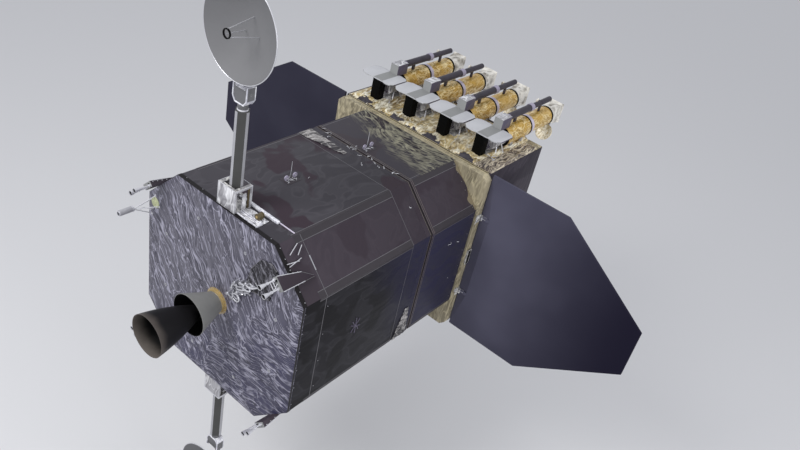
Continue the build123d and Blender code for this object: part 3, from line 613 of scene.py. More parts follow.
def add_box(bm, one, other, material=0, bevel=0.0):
    """A box between two opposite corners, its edges rounded by the bevel."""
    low = Vector([min(pair) for pair in zip(one, other)])
    high = Vector([max(pair) for pair in zip(one, other)])
    place = Matrix.Translation((low + high) / 2) @ Matrix.Diagonal((*(high - low), 1))
    before = set(bm.faces)
    verts = bmesh.ops.create_cube(bm, size=1, matrix=place)["verts"]
    if bevel:
        round_edges(bm, edges_of(verts), bevel)
    repaint(bm, before, material)


def add_rod(bm, start, end, radius, end_radius=None, material=0, sides=20):
    """A round bar or a cone from one point to another."""
    line = Vector(end) - Vector(start)
    turn = line.to_track_quat("Z", "Y").to_matrix().to_4x4()
    place = Matrix.Translation((Vector(start) + Vector(end)) / 2) @ turn
    made = bmesh.ops.create_cone(bm, cap_ends=True, segments=sides, radius1=radius,
                                 radius2=radius if end_radius is None else end_radius,
                                 depth=line.length, matrix=place)
    paint(made["verts"], material)
    return made["verts"]


def add_peg(bm, foot, step, radius, end_radius=None, material=0, sides=20):
    """A round bar from its foot along one step."""
    add_rod(bm, foot, Vector(foot) + Vector(step), radius, end_radius, material, sides)


def add_spun(bm, outline, y=0.0, z=0.0, material=0, steps=64, closed=True):
    """Spins (x, radius) corners round the line along X through y, z.

    The corners form a closed loop, or else a chain whose two ends lie on the line.
    """
    before = set(bm.faces)
    known = set(bm.verts)
    verts = [bm.verts.new((x, y, z + radius)) for x, radius in outline]
    edges = [bm.edges.new(pair) for pair in zip(verts, verts[1:])]
    if closed:
        edges.append(bm.edges.new((verts[-1], verts[0])))
    bmesh.ops.spin(bm, geom=verts + edges, cent=(0, y, z), axis=(1, 0, 0), dvec=(0, 0, 0),
                   angle=2 * pi, steps=steps, use_merge=True, use_duplicate=False)
    bmesh.ops.remove_doubles(bm, verts=added(bm, known), dist=MERGE)
    repaint(bm, before, material)


def spun_bands(bm, bands, y, z, steps=64):
    """Closed rings side by side: each band is (start, end, inner radius, outer radius, material)."""
    for start, end, inner, outer, material in bands:
        add_spun(bm, [(start, inner), (start, outer), (end, outer), (end, inner)], y, z, material, steps)


def paint_inside(bm, y, z, material, beyond=None):
    """Paints the faces that look towards the line along X through y, z."""
    face_out(bm)
    for face in bm.faces:
        middle = face.calc_center_median()
        outwards = Vector((0, middle.y - y, middle.z - z))
        if face.normal.dot(outwards) < -0.2 * outwards.length and (beyond is None or middle.x < beyond):
            face.material_index = material


def add_pipe(bm, points, radius, material=0):
    """A bent pipe that follows a smooth line near these points."""
    curve = bpy.data.curves.new("pipe", "CURVE")
    curve.dimensions = "3D"
    line = curve.splines.new("NURBS")
    line.points.add(len(points) - 1)
    for point, place in zip(line.points, points):
        point.co = (*place, 1)
    line.order_u = min(4, len(points))
    line.use_endpoint_u = True
    line.resolution_u = 5
    curve.bevel_depth = radius
    curve.bevel_resolution = 2
    curve.use_fill_caps = True
    holder = bpy.data.objects.new("pipe", curve)
    mesh = bpy.data.meshes.new_from_object(holder)
    before = set(bm.faces)
    known = set(bm.verts)
    bm.from_mesh(mesh)
    bmesh.ops.remove_doubles(bm, verts=added(bm, known), dist=MERGE)
    repaint(bm, before, material)
    bpy.data.objects.remove(holder)
    bpy.data.curves.remove(curve)
    bpy.data.meshes.remove(mesh)


def wander(start, end, count, spread, seed):
    """Points from start to end that stray from the straight line by up to spread."""
    dice = Random(seed)
    start = Vector(start)
    line = Vector(end) - start
    points = [start]
    for number in range(1, count):
        stray = Vector([dice.uniform(-reach, reach) for reach in spread])
        points.append(start + line * number / count + stray)
    return points + [start + line]


def add_sheet(bm, corner, along, across, cells, material=0):
    """A grid of quads from a corner along two edges, its front on along x across."""
    along = Vector(along)
    across = Vector(across)
    front = along.cross(across).normalized()
    middle = Vector(corner) + (along + across) / 2
    turn = Matrix((along, across, front)).transposed().to_4x4()
    made = bmesh.ops.create_grid(bm, x_segments=cells[0], y_segments=cells[1], size=0.5,
                                 matrix=Matrix.Translation(middle) @ turn)
    paint(made["verts"], material)
    return made["verts"]


def ridge(place):
    """Height of a crumpled surface at a place: 0 in the valleys, 1 on the sharp folds."""
    bent = place + noise.noise_vector(place * 0.35) * 0.9
    height = 0.0
    for scale, weight in ((1.0, 0.6), (2.3, 0.28), (4.7, 0.12)):
        height += weight * max(0.0, 1 - 2.4 * abs(noise.noise(bent * scale)))
    return height


def crumple(bm, depth, fold, seed, line=(0, 0, 1), stretch=1.0, hold=None, verts=None):
    """Lifts vertices along their normals into folds that are drawn out along a line.

    hold(place) is 0 where the film is held flat. verts are the vertices to lift, if not all.
    """
    bm.normal_update()
    verts = verts or bm.verts
    line = Vector(line)
    moves = []
    for vert in verts:
        place = vert.co - line * vert.co.dot(line) * (1 - 1 / stretch)
        height = depth * ridge(place / fold + Vector((seed, seed * 0.7, -seed)))
        if hold:
            height *= max(0.0, min(1.0, hold(vert.co)))
        moves.append(vert.normal * height)
    for vert, move in zip(verts, moves):
        vert.co += move


def thicken(bm, thickness):
    """Turns open sheets into closed skins."""
    bmesh.ops.solidify(bm, geom=list(bm.faces), thickness=thickness)


def add_copy(bm, node, bevel=0.0):
    """A merged copy of a CAD node, its flat faces whole again and its sharp edges rounded."""
    known = set(bm.verts)
    source = frame["nodes"][node]
    bm.from_mesh(source.data)
    bmesh.ops.transform(bm, matrix=source.matrix_world, verts=added(bm, known))
    bmesh.ops.remove_doubles(bm, verts=added(bm, known), dist=MERGE)
    made = added(bm, known)
    bmesh.ops.dissolve_limit(bm, angle_limit=radians(0.5), verts=made, edges=edges_of(made))
    if bevel:
        joined = [edge for edge in edges_of(added(bm, known)) if len(edge.link_faces) == 2]
        sharp = [edge for edge in joined if edge.calc_face_angle() > radians(35)]
        round_edges(bm, sharp, bevel, clamp=True)


def paint_by(bm, rule):
    """Paints each face with the material number that rule(normal, middle) gives."""
    face_out(bm)
    for face in bm.faces:
        face.material_index = rule(face.normal, face.calc_center_median())


def finish_piece(bm, name, body, finishes, stands_for=(), sharp=28):
    """Turns a bmesh into a piece that rides on a body, with its finishes and smooth faces."""
    bmesh.ops.recalc_face_normals(bm, faces=bm.faces)
    mesh = bpy.data.meshes.new(name)
    bm.to_mesh(mesh)
    bm.free()
    for finish in finishes:
        mesh.materials.append(FINISHES[finish])
    mesh.shade_smooth()
    mesh.set_sharp_from_angle(angle=radians(sharp))
    piece = bpy.data.objects.new(name, mesh)
    bpy.context.collection.objects.link(piece)
    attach(piece, body)
    if stands_for:
        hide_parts(*stands_for)
    return piece


def turn_down(bm, side):
    """Mirrors a piece drawn for the top to the underside."""
    if side == "bottom":
        bmesh.ops.scale(bm, vec=(1, 1, -1), verts=bm.verts)


def bolt_circle(bm, x, radius, count, size, material=0, y=0.0, z=0.0):
    """Hexagon heads on a circle, standing aft of the plane x."""
    for number in range(count):
        angle = 2 * pi * (number + 0.5) / count
        foot = Vector((x, y + radius * cos(angle), z + radius * sin(angle)))
        add_peg(bm, foot, (-size * 0.9, 0, 0), size, material=material, sides=6)


# Places on the bus: the eight faces are counted from the top towards the near side


def bus_axes(face):
    """Outward and sideways directions of a bus face."""
    angle = face * pi / 4
    return Vector((0, -sin(angle), cos(angle))), Vector((0, -cos(angle), -sin(angle)))


def on_bus(face, x, side, lift=0.0):
    """The place at x, and at a distance to the side of the middle of a bus face."""
    out, across = bus_axes(face)
    reach = CHAMFER_REACH if face % 2 else BUS_HALF
    return Vector((x, 0, 0)) + out * (reach + lift) + across * side


def add_strip(bm, face, start, end, width, height=0.001, material=0, lift=0.0):
    """A flat strip on a bus face from one (x, side) place to another, its foot lifted off the face."""
    out = bus_axes(face)[0]
    low = on_bus(face, *start, lift)
    high = on_bus(face, *end, lift)
    line = high - low
    turn = Matrix((line, out.cross(line).normalized() * width, out * height)).transposed().to_4x4()
    place = Matrix.Translation((low + high) / 2 + out * height / 2) @ turn
    paint(bmesh.ops.create_cube(bm, size=1, matrix=place)["verts"], material)


# Bus films and trim


def bus_rule(normal, middle):
    """Deck film above and below, corner film on the chamfers, side film on the sides."""
    if abs(normal.z) > 0.9:
        return 0
    return 2 if abs(normal.y) > 0.9 else 1


def dress_bus():
    finishes = ("foil_dark", "film_chamfer", "film_side")
    for node in ("bus_rear", "bus_front"):
        bm = bmesh.new()
        add_copy(bm, node, bevel=0.004)
        paint_by(bm, bus_rule)
        finish_piece(bm, f"{node}_film", "bus", finishes, (node,))
    bm = bmesh.new()
    add_copy(bm, "bus_band")
    paint_by(bm, lambda normal, middle: 3)
    for face in range(8):
        half = CHAMFER_HALF if face % 2 else BUS_FLAT
        film = 1 if face % 2 else bus_rule(*bus_axes(face))
        middle = BAND[0] + 0.032
        add_strip(bm, face, (middle, 0.001 - half), (middle, half - 0.001), 0.064, 0.007, film, lift=-0.008)
    finish_piece(bm, "bus_band_film", "bus", (*finishes, "film_groove"), ("bus_band",))


def octagon_reach(place):
    """Distance from a place on the aft deck to the nearest edge of the deck."""
    y = abs(place.y)
    z = abs(place.z)
    return min(BUS_HALF - y, BUS_HALF - z, (2 * BUS_HALF - BUS_CHAMFER - y - z) / 2 ** 0.5)


def hold_aft(place):
    """The aft film is held down at the deck edge and round the engine."""
    return min((octagon_reach(place) - 0.012) / 0.03, (Vector((place.y, place.z)).length - 0.125) / 0.04)


def make_aft_blanket(settings):
    bm = bmesh.new()
    half = BUS_HALF - 0.01
    add_sheet(bm, (-0.0015, half, -half), (0, -2 * half, 0), (0, 0, 2 * half), (130, 130))
    for face in (1, 3, 5, 7):
        out = bus_axes(face)[0]
        geom = [*bm.verts, *bm.edges, *bm.faces]
        corner = out * (CHAMFER_REACH - 0.01)
        bmesh.ops.bisect_plane(bm, geom=geom, plane_co=corner, plane_no=out, clear_outer=True)
    inside = [face for face in bm.faces if Vector(face.calc_center_median()[1:]).length < 0.115]
    bmesh.ops.delete(bm, geom=inside, context="FACES")
    crumple(bm, settings.aft_depth, 0.1, 3.1, (0, 0.5, 0.87), 4.0, hold_aft)
    thicken(bm, FILM)
    finish_piece(bm, "aft_blanket", "bus", ("foil_aft",), sharp=60)


def make_aft_details():
    """Washers at the bolt holes, the pale patch, and the valves and pipes beside the engine."""
    bm = bmesh.new()
    for number in range(8):
        angle = 2 * pi * (number + 0.5) / 8
        y = ADAPTER_RADIUS * cos(angle)
        z = ADAPTER_RADIUS * sin(angle)
        spun_bands(bm, [(-0.009, 0.0, 0.0065, 0.017, 0)], y, z, steps=24)
    add_peg(bm, (-0.012, 0.955, 0.58), (0.012, 0, 0), 0.054, 0.062, 2, 28)
    add_peg(bm, (-0.018, 0.955, 0.58), (0.006, 0, 0), 0.02, 0.026, 2, 20)
    for number, (y, z) in enumerate(VALVES):
        add_peg(bm, (-0.05, y, z), (0.05, 0, 0), 0.020, 0.026, 0, 20)
        add_peg(bm, (-0.058, y, z), (0.008, 0, 0), 0.012, material=1, sides=16)
        end = (-0.02, y - 0.12 - 0.01 * number, z + 0.05)
        add_pipe(bm, wander((-0.05, y, z), end, 6, (0.025, 0.06, 0.06), number + 4), 0.008, number % 2)
    for number in range(9):
        y = -0.16 - 0.032 * number
        z = 0.20 + 0.035 * number
        end = (-0.014, y - 0.1, z + 0.06)
        add_pipe(bm, wander((-0.014, y, z), end, 7, (0.02, 0.07, 0.07), number + 31), 0.0055, number % 2)
    loop = [(-0.05, -0.30 + 0.05 * cos(a), 0.27 + 0.05 * sin(a)) for a in (0.3, 1.4, 2.5, 3.6, 4.7, 5.6)]
    add_pipe(bm, loop, 0.007, 1)
    finishes = ("metal_silver", "strut", "patch")
    finish_piece(bm, "aft_details", "bus", finishes, ("service_panel",))


def make_torn_film():
    """The dark opening in the aft blanket beside the near pod: a dark sheet of painted shade, its film in
    tatters.
    """
    bm = bmesh.new()
    rim = [bm.verts.new((-0.010, y, z)) for y, z in TORN_EDGE]
    rim_edges = [bm.edges.new(pair) for pair in zip(rim, rim[1:] + rim[:1])]
    bmesh.ops.subdivide_edges(bm, edges=rim_edges, cuts=5)
    bmesh.ops.contextual_create(bm, geom=list(bm.edges))
    bmesh.ops.poke(bm, faces=list(bm.faces))
    for _ in range(4):
        bmesh.ops.subdivide_edges(bm, edges=list(bm.edges), cuts=1, use_grid_fill=True)
    bmesh.ops.recalc_face_normals(bm, faces=bm.faces)
    if next(iter(bm.faces)).normal.x > 0:
        bmesh.ops.reverse_faces(bm, faces=list(bm.faces))
    crumple(bm, 0.02, 0.09, 8.2, (0, 0.5, 0.87), 3.0)
    thicken(bm, FILM)
    edge = [Vector((-0.016, y, z)) for y, z in TORN_EDGE]
    for number, (start, end) in enumerate(zip(edge, edge[1:] + edge[:1])):
        add_pipe(bm, wander(start, end, 4, (0.004, 0.008, 0.008), number + 60), 0.006, number % 2)
    finish_piece(bm, "torn_film", "bus", ("film_torn", "tape_line"), sharp=50)


def make_bus_trim():
    """Dark edge trim, edge tapes with their borders, cross seams, rivets, loose wires, and short bright
    wires and a violet cross that are painted glints.
    """
    bm = bmesh.new()
    for face in range(8):
        half = CHAMFER_HALF if face % 2 else BUS_FLAT
        trim = 0.022 if face in (2, 6) else 0.046
        add_strip(bm, face, (trim / 2, -half), (trim / 2, half), trim, 0.0025, 0)
        tape = 0.064 if face % 2 else 0.028
        for start, end in ((0.205, 1.495), (1.845, 2.56)):
            for side in (-1, 1):
                middle = side * (half - tape / 2)
                border = side * (half - tape)
                add_strip(bm, face, (start, middle), (end, middle), tape, 0.0008, 1)
                add_strip(bm, face, (start, border), (end, border), 0.006, 0.0014, 2)
        for x in (BAND[0] + 0.066, BAND[1] + 0.004, BAND[1] + 0.028):
            add_strip(bm, face, (x, -half), (x, half), 0.005, 0.0014, 4)
        add_strip(bm, face, (1.495, -half), (1.495, half), 0.005, 0.0014, 2)
        if face not in (0, 4):
            add_strip(bm, face, (0.285, -half), (0.285, half), 0.006, 0.0014, 2)
        rows = ((0.038, 6), (0.318, 4 if face % 2 == 0 and face not in (0, 4) else 0), (2.54, 6))
        for x, count in rows:
            for number in range(count):
                foot = on_bus(face, x, half * (number - (count - 1) / 2) / (count * 0.48))
                add_peg(bm, foot, bus_axes(face)[0] * 0.003, 0.0045, material=3, sides=10)
    add_strip(bm, 1, (0.285, -0.09), (0.285, 0.05), 0.011, 0.003, 3)
    finishes = ("rim_dark", "tape", "tape_line", "metal_silver", "seam_line")
    finish_piece(bm, "bus_trim", "bus", finishes)
    bm = bmesh.new()
    for start, end in (
        ((0.212, -0.226), (0.084, -0.164)),
        ((0.25, -0.198), (0.16, -0.134)),
        ((0.19, -0.10), (0.03, -0.075)),
        ((0.16, -0.085), (0.02, -0.105)),
    ):
        add_rod(bm, on_bus(1, *start, 0.01), on_bus(1, *end, 0.022), 0.004, material=0, sides=10)
    spread = Random(12)
    # More short bright wires along the groove: painted glints
    groove_glints = [(0, 1.755 + 0.05 * spread.random(), spread.uniform(-0.6, 0.55)) for _ in range(14)]
    for number, (face, x, side) in enumerate([*GLINT_WIRES, *groove_glints]):
        dice = Random(number)
        place = on_bus(face, x, side, 0.004)
        across = bus_axes(face)[1] * dice.uniform(-0.05, 0.05)
        end = place + Vector((dice.uniform(-0.02, 0.05), 0, 0)) + across
        add_pipe(bm, wander(place, end, 5, (0.012, 0.012, 0.004), number), 0.0018, 0)
        if number % 2:
            add_rod(bm, on_bus(face, x, side), on_bus(face, x, side, 0.008), 0.006, material=0, sides=12)
    # A small violet cross on the near side: a painted glint
    for turn in (0.3, 0.8, 1.5, 2.4):
        reach = (0.07 * cos(turn), 0.10 * sin(turn))
        start = on_bus(2, 0.793 - reach[0], -reach[1], 0.002)
        end = on_bus(2, 0.793 + reach[0], reach[1], 0.002)
        add_pipe(bm, wander(start, end, 4, (0.01, 0.002, 0.01), int(turn * 10)), 0.006, 1)
    finish_piece(bm, "bus_wires", "bus", ("strut", "radiator_side"))


def make_bus_creases(settings):
    """Frosted film at the front of the top deck and the loose film at both ends of the band."""
    bm = bmesh.new()
    half = BUS_FLAT
    add_sheet(bm, (1.846, -half, DECK_HEIGHT), (0.739, 0, 0), (0, 2 * half, 0), (74, 130))
    crumple(bm, settings.frost_depth, 0.06, 5.7, (0.1, -0.99, 0), 3.0,
            lambda place: min((place.x - 0.22 * place.y - 2.1) / 0.2, (half - abs(place.y)) / 0.03,
                              (2.59 - place.x) / 0.02))
    thicken(bm, THIN_FILM)
    finish_piece(bm, "top_creases", "bus", ("foil_frost",), sharp=60)
    bm = bmesh.new()
    add_sheet(bm, (1.50, 0.08, DECK_HEIGHT), (0.19, 0, 0), (0, 0.56, 0), (20, 58))
    for vert in bm.verts:
        vert.co.x = 1.645 + (vert.co.x - 1.645) * (0.3 + 0.7 * (vert.co.y - 0.08) / 0.56)
    known = set(bm.verts)
    add_sheet(bm, (1.52, -DECK_HEIGHT, -BUS_FLAT), (0.23, 0, 0), (0, 0, 0.39), (22, 38))
    for vert in added(bm, known):
        rise = (vert.co.z + BUS_FLAT) / 0.39
        vert.co.x = 1.635 + 0.03 * rise + (vert.co.x - 1.635) * (1 - 0.75 * rise)
    crumple(bm, settings.frost_depth * 1.6, 0.04, 2.2, (0.75, -0.65, 0), 2.5)
    thicken(bm, THIN_FILM)
    finish_piece(bm, "band_creases", "bus", ("film_loose",), sharp=50)


# Engine, pods and aft fittings


def make_engine():
    bm = bmesh.new()
    spun_bands(bm, [
        (-RING_DEPTH, 0.0, 0.060, 0.120, 0),
        (-RING_DEPTH - 0.0025, -RING_DEPTH, 0.1085, 0.1125, 1),
        (-0.205, 0.0, 0.037, 0.057, 0),
        (-0.012, 0.0, 0.0, 0.061, 0),
        (-0.008, 0.0, 0.118, 0.138, 0),
    ], 0, 0)
    bolt_circle(bm, -0.008, 0.129, 24, 0.005, 1)
    finish_piece(bm, "engine_flange", "bus", ("metal_gold", "metal_silver"), ("engine_ring",))
    bm = bmesh.new()
    root = -RING_DEPTH
    shield = [(-0.330, 0.214), (root, 0.108), (root, 0.104), (-0.326, 0.2105), (-0.332, 0.211)]
    add_spun(bm, shield, steps=96)
    # The faces inside the shield are black with painted shade
    paint_inside(bm, 0, 0, 1)
    finishes = ("shield_grey", "shield_inside")
    finish_piece(bm, "engine_heat_shield", "bus", finishes, ("engine_shield",))
    bm = bmesh.new()
    outer = [(x, bell_radius(x)) for x in (-0.205 - 0.565 * t / 24 for t in range(25))]
    inner = [(x, radius - 0.005) for x, radius in reversed(outer)]
    add_spun(bm, outer + inner, steps=96)
    # Inside the nozzle the colour runs from the lip to painted shade
    paint_inside(bm, 0, 0, 1)
    stands_for = ("engine_bell", "engine_extension")
    finish_piece(bm, "engine_nozzle", "bus", ("bell_metal", "bell_inside"), stands_for)


def bell_radius(x):
    """Outer radius of the nozzle: a circle through throat, middle and exit, as in the CAD."""
    (x1, r1), (x2, r2), (x3, r3) = BELL_POINTS
    d = 2 * (x1 * (r2 - r3) + x2 * (r3 - r1) + x3 * (r1 - r2))
    a, b, c = (x * x + r * r for x, r in ((x1, r1), (x2, r2), (x3, r3)))
    centre_x = (a * (r2 - r3) + b * (r3 - r1) + c * (r1 - r2)) / d
    centre_r = (a * (x3 - x2) + b * (x1 - x3) + c * (x2 - x1)) / d
    span = (x1 - centre_x) ** 2 + (r1 - centre_r) ** 2
    return centre_r + (span - (x - centre_x) ** 2) ** 0.5


def make_pods():
    bm = bmesh.new()
    add_copy(bm, "thruster_pods", bevel=0.002)
    paint_by(bm, lambda normal, middle: 1 if normal.x < -0.8 else 0)
    for face in (1, 3, 5, 7):
        side = 1 if face in (1, 5) else -1
        for row in POD_EDGES:
            corners = [on_bus(face, x, side * distance, height) for x, distance, height in row]
            add_rod(bm, corners[0], corners[1], 0.0035, material=2, sides=10)
            add_rod(bm, corners[1], corners[2], 0.0025, material=3, sides=10)
            for number in range(5):
                foot = corners[0].lerp(corners[1], (number + 0.5) / 5) - bus_axes(face)[0] * 0.012
                outwards = bus_axes(face)[1] * side * (0.008 if row is POD_EDGES[1] else -0.008)
                add_peg(bm, foot, outwards, 0.004, material=2, sides=8)
        low = on_bus(face, -0.1525, -side * 0.028, 0.012)
        add_peg(bm, low, bus_axes(face)[0] * 0.03, 0.009, material=4, sides=8)
    finishes = ("film_chamfer", "radiator_grey", "strut", "tape_line", "band_black")
    finish_piece(bm, "pod_covers", "bus", finishes, ("thruster_pods",))
    bm = bmesh.new()
    height = 0.018
    for face in (1, 3, 5, 7):
        known = set(bm.verts)
        for side in (-0.04, 0.04):
            spun_bands(bm, [
                (-0.245, -0.150, 0.0, 0.0075, 0),
                (-0.236, -0.226, 0.0, 0.013, 0),
                (-0.166, -0.150, 0.0, 0.015, 0),
            ], side, height, 24)
            cone = [(-0.320, 0.024), (-0.290, 0.019), (-0.238, 0.009)]
            cone += [(-0.238, 0.006), (-0.290, 0.0165), (-0.320, 0.022)]
            add_spun(bm, cone, side, height, 0, 32)
            add_peg(bm, (-0.312, side, height), (0.004, 0, 0), 0.0205, material=1, sides=24)
        for x in (-0.178, -0.205):
            add_peg(bm, (x, -0.04, height), (0, 0.08, 0), 0.004, sides=12)
        line = wander((-0.2, -0.04, height), (-0.15, 0.0, 0.035), 4, (0.004, 0.012, 0.01), face)
        add_pipe(bm, line, 0.003)
        made = added(bm, known)
        bmesh.ops.translate(bm, vec=(0, 0, CHAMFER_REACH), verts=made)
        bmesh.ops.transform(bm, matrix=Matrix.Rotation(face * pi / 4, 4, "X"), verts=made)
    finish_piece(bm, "thruster_pairs", "bus", ("strut", "band_black"), ("thrusters",))


def make_sensor():
    """The small cylinder on converging struts at the far side of the aft deck."""
    bm = bmesh.new()
    y = SENSOR_HIGH[1] - 0.03
    z = 0.526
    spun_bands(bm, [
        (-0.335, -0.205, 0.0, 0.029, 0),
        (-0.345, -0.333, 0.0, 0.022, 1),
        (-0.205, -0.190, 0.0, 0.030, 1),
    ], y, z, 32)
    add_peg(bm, (-0.3455, y, z), (0.0025, 0, 0), 0.018, material=2, sides=24)
    tip = Vector((-0.196, y - 0.012, z))
    for foot in ((0, 0.900, 0.560), (0, 1.010, 0.420), (0, 1.000, 0.600), (0, 0.955, 0.655)):
        add_rod(bm, tip, foot, 0.0045, material=1, sides=12)
        add_peg(bm, (-0.006, *foot[1:]), (0.006, 0, 0), 0.014, material=1, sides=16)
    add_pipe(bm, wander(tip, (-0.002, 0.98, 0.50), 6, (0.01, 0.02, 0.03), 12), 0.003, 1)
    finishes = ("mast_edge", "strut", "glass")
    finish_piece(bm, "sensor_on_struts", "bus", finishes, ("boom_sensor",))


def gimbal_rule(normal, middle):
    """Grey film on the outer faces and the neck; white on rounded edges, tops and inner faces, the white of
    the edges being a painted highlight.
    """
    if abs(middle.z) < YOKE_TOP - 0.162:
        return 1
    aft = normal.x < -0.96 and middle.x < BOOM_X - 0.03
    side = abs(normal.y) > 0.96 and normal.y * middle.y > 0 and abs(middle.y) > 0.07
    return 1 if aft or side else 0


# Antennas


def mast_rule(normal, middle):
    """Bright strips on the cut edges of the mast, grey faces, plain metal foot."""
    if abs(middle.z) < MAST_ENDS[0]:
        return 2
    return 1 if max(abs(normal.x), abs(normal.y)) > 0.9 else 0


def base_rule(normal, middle):
    """Silver film outside, silver foil on the floor, the top and the inner faces."""
    inwards = normal.y < -0.5 and middle.y > 0.09 or normal.x > 0.5 and middle.x < 0.05
    return 1 if inwards or abs(normal.z) > 0.8 else 0


def make_antenna(side):
    bm = bmesh.new()
    add_copy(bm, f"antenna_base_{side}", bevel=0.0015)
    paint_by(bm, base_rule)
    finishes = ("box_film", "foil_silver")
    finish_piece(bm, f"mast_box_{side}", "bus", finishes, (f"antenna_base_{side}",))
    bm = bmesh.new()
    corners = [
        (BASE_LOW[0], BASE_LOW[1]),
        (BASE_HIGH[0], BASE_LOW[1]),
        (BASE_HIGH[0], BASE_HIGH[1]),
        (BASE_LOW[0], BASE_HIGH[1]),
    ]
    for start, end in zip(corners, corners[1:] + corners[:1]):
        add_rod(bm, (*start, BASE_HIGH[2]), (*end, BASE_HIGH[2]), 0.0035, material=0, sides=10)
        add_rod(bm, (*start, BASE_LOW[2]), (*start, BASE_HIGH[2]), 0.003, material=0, sides=10)
    pivot = BASE_HIGH[2] - 0.075
    add_peg(bm, (BOOM_X, -0.118, pivot), (0, 0.008, 0), 0.02, sides=24)
    (low_x, low_y, low_z), (high_x, _, high_z) = BASE_LOW, BASE_HIGH
    add_box(bm, (low_x, low_y - 0.001, high_z - 0.02), (high_x, low_y + 0.003, high_z - 0.001), 0, 0.001)
    post = (high_x - 0.045, high_x - 0.028)
    add_box(bm, (post[0], low_y + 0.001, low_z), (post[1], low_y + 0.012, high_z - 0.01), 1, 0.001)
    turn_down(bm, side)
    finish_piece(bm, f"mast_box_edges_{side}", "bus", ("strut", "rust"))
    bm = bmesh.new()
    add_copy(bm, f"mast_{side}", bevel=0.0)
    paint_by(bm, mast_rule)
    finishes = ("mast_grey", "mast_edge", "metal_silver")
    finish_piece(bm, f"mast_shaft_{side}", f"boom_{side}", finishes, (f"mast_{side}",))
    bm = bmesh.new()
    add_copy(bm, f"gimbal_{side}", bevel=0.002)
    paint_by(bm, gimbal_rule)
    turn_down(bm, side)
    # White rods along the yoke's outline: painted highlights on its edges
    corners = [(YOKE_HALF, YOKE_TOP), (YOKE_HALF, YOKE_TOP - 0.115), (YOKE_HALF - 0.03, YOKE_TOP - 0.158)]
    corners += [(-y, z) for y, z in reversed(corners)]
    for x in (BOOM_X - YOKE_REACH, BOOM_X + YOKE_REACH):
        for start, end in zip(corners, corners[1:]):
            add_rod(bm, (x, *start), (x, *end), 0.0065, sides=12)
            corner = Matrix.Translation((x, *end))
            bmesh.ops.create_icosphere(bm, subdivisions=2, radius=0.0065, matrix=corner)
    neck = MAST_ENDS[1]
    add_peg(bm, (BOOM_X, 0, neck), (0, 0, 0.012), 0.047, sides=40)
    add_peg(bm, (BOOM_X, 0, YOKE_TOP - 0.166), (0, 0, 0.008), 0.046, sides=40)
    turn_down(bm, side)
    finish_piece(bm, f"gimbal_cover_{side}", f"azimuth_{side}", ("foil_white", "gimbal_grey"),
                 (f"gimbal_{side}",))
    make_dish(side)
    bm = bmesh.new()
    spun_bands(bm, [
        (FEED_X, FEED_X + 0.014, FEED_RADIUS - 0.008, FEED_RADIUS, 0),
        (FEED_X + 0.002, FEED_X + 0.012, FEED_RADIUS - 0.0095, FEED_RADIUS - 0.0075, 1),
    ], 0, DISH_Z, 48)
    turn_down(bm, side)
    finish_piece(bm, f"feed_ring_{side}", f"elevation_{side}", ("band_black", "rim_dark"),
                 (f"feed_{side}",))


def bowl(radius, lift):
    """A corner of the dish outline at a radius, lifted off its front face."""
    return DISH_X + DISH_DEPTH * (1 - (radius / DISH_RADIUS) ** 2) + lift, radius


def make_dish(side):
    """Reflector with rolled lip, ribs, hub, bent arm, trunnion and feed legs."""
    bm = bmesh.new()
    radii = [DISH_RADIUS * t / 28 for t in range(29)]
    front = [bowl(radius, 0.0) for radius in radii]
    back = [bowl(radius, 0.007) for radius in reversed(radii)]
    add_spun(bm, front + back, 0, DISH_Z, 0, 96, closed=False)
    angles = [2 * pi * n / 10 for n in range(10)]
    lip = [(0.0135 + 0.0055 * (1 + cos(a)), 0.4135 + 0.0045 * sin(a)) for a in angles]
    add_spun(bm, lip, 0, DISH_Z, 1, 96)
    spun_bands(bm, [(0.166, 0.198, 0.0, 0.055, 2), (0.150, 0.164, 0.215, 0.222, 2)], 0, DISH_Z, 48)
    add_box(bm, (0.175, -0.028, TRUNNION_Z - 0.015), (0.198, 0.028, DISH_Z + 0.03), 2, 0.003)
    add_box(bm, (BOOM_X, -0.028, TRUNNION_Z - 0.015), (0.198, 0.028, TRUNNION_Z + 0.015), 2, 0.003)
    add_peg(bm, (BOOM_X, -0.058, TRUNNION_Z), (0, 0.116, 0), 0.03, material=2, sides=32)
    add_peg(bm, (BOOM_X, -0.083, TRUNNION_Z), (0, 0.166, 0), 0.012, sides=24)
    leg_top = FEED_X + 0.02
    for turn in (90, 210, 330):
        y = cos(radians(turn))
        z = sin(radians(turn))
        foot = Vector((bowl(0.09, 0.0)[0], 0.09 * y, DISH_Z + 0.09 * z))
        top = Vector((leg_top, 0.037 * y, DISH_Z + 0.037 * z))
        add_rod(bm, foot, top, 0.0035, material=3, sides=12)
        add_peg(bm, top, (-0.012, 0, 0), 0.005, material=3, sides=12)
    for number in range(8):
        angle = 2 * pi * number / 8
        line = Vector((0, cos(angle), sin(angle)))
        for near, far in ((0.06, 0.22), (0.22, 0.38)):
            start = Vector((bowl(near, 0.018)[0], 0, DISH_Z)) + line * near
            end = Vector((bowl(far, 0.018)[0], 0, DISH_Z)) + line * far
            add_rod(bm, start, end, 0.006, material=2, sides=8)
    turn_down(bm, side)
    finishes = ("dish_grey", "strut", "foil_white", "strut")
    finish_piece(bm, f"reflector_{side}", f"elevation_{side}", finishes, (f"dish_{side}",),
                 sharp=40)


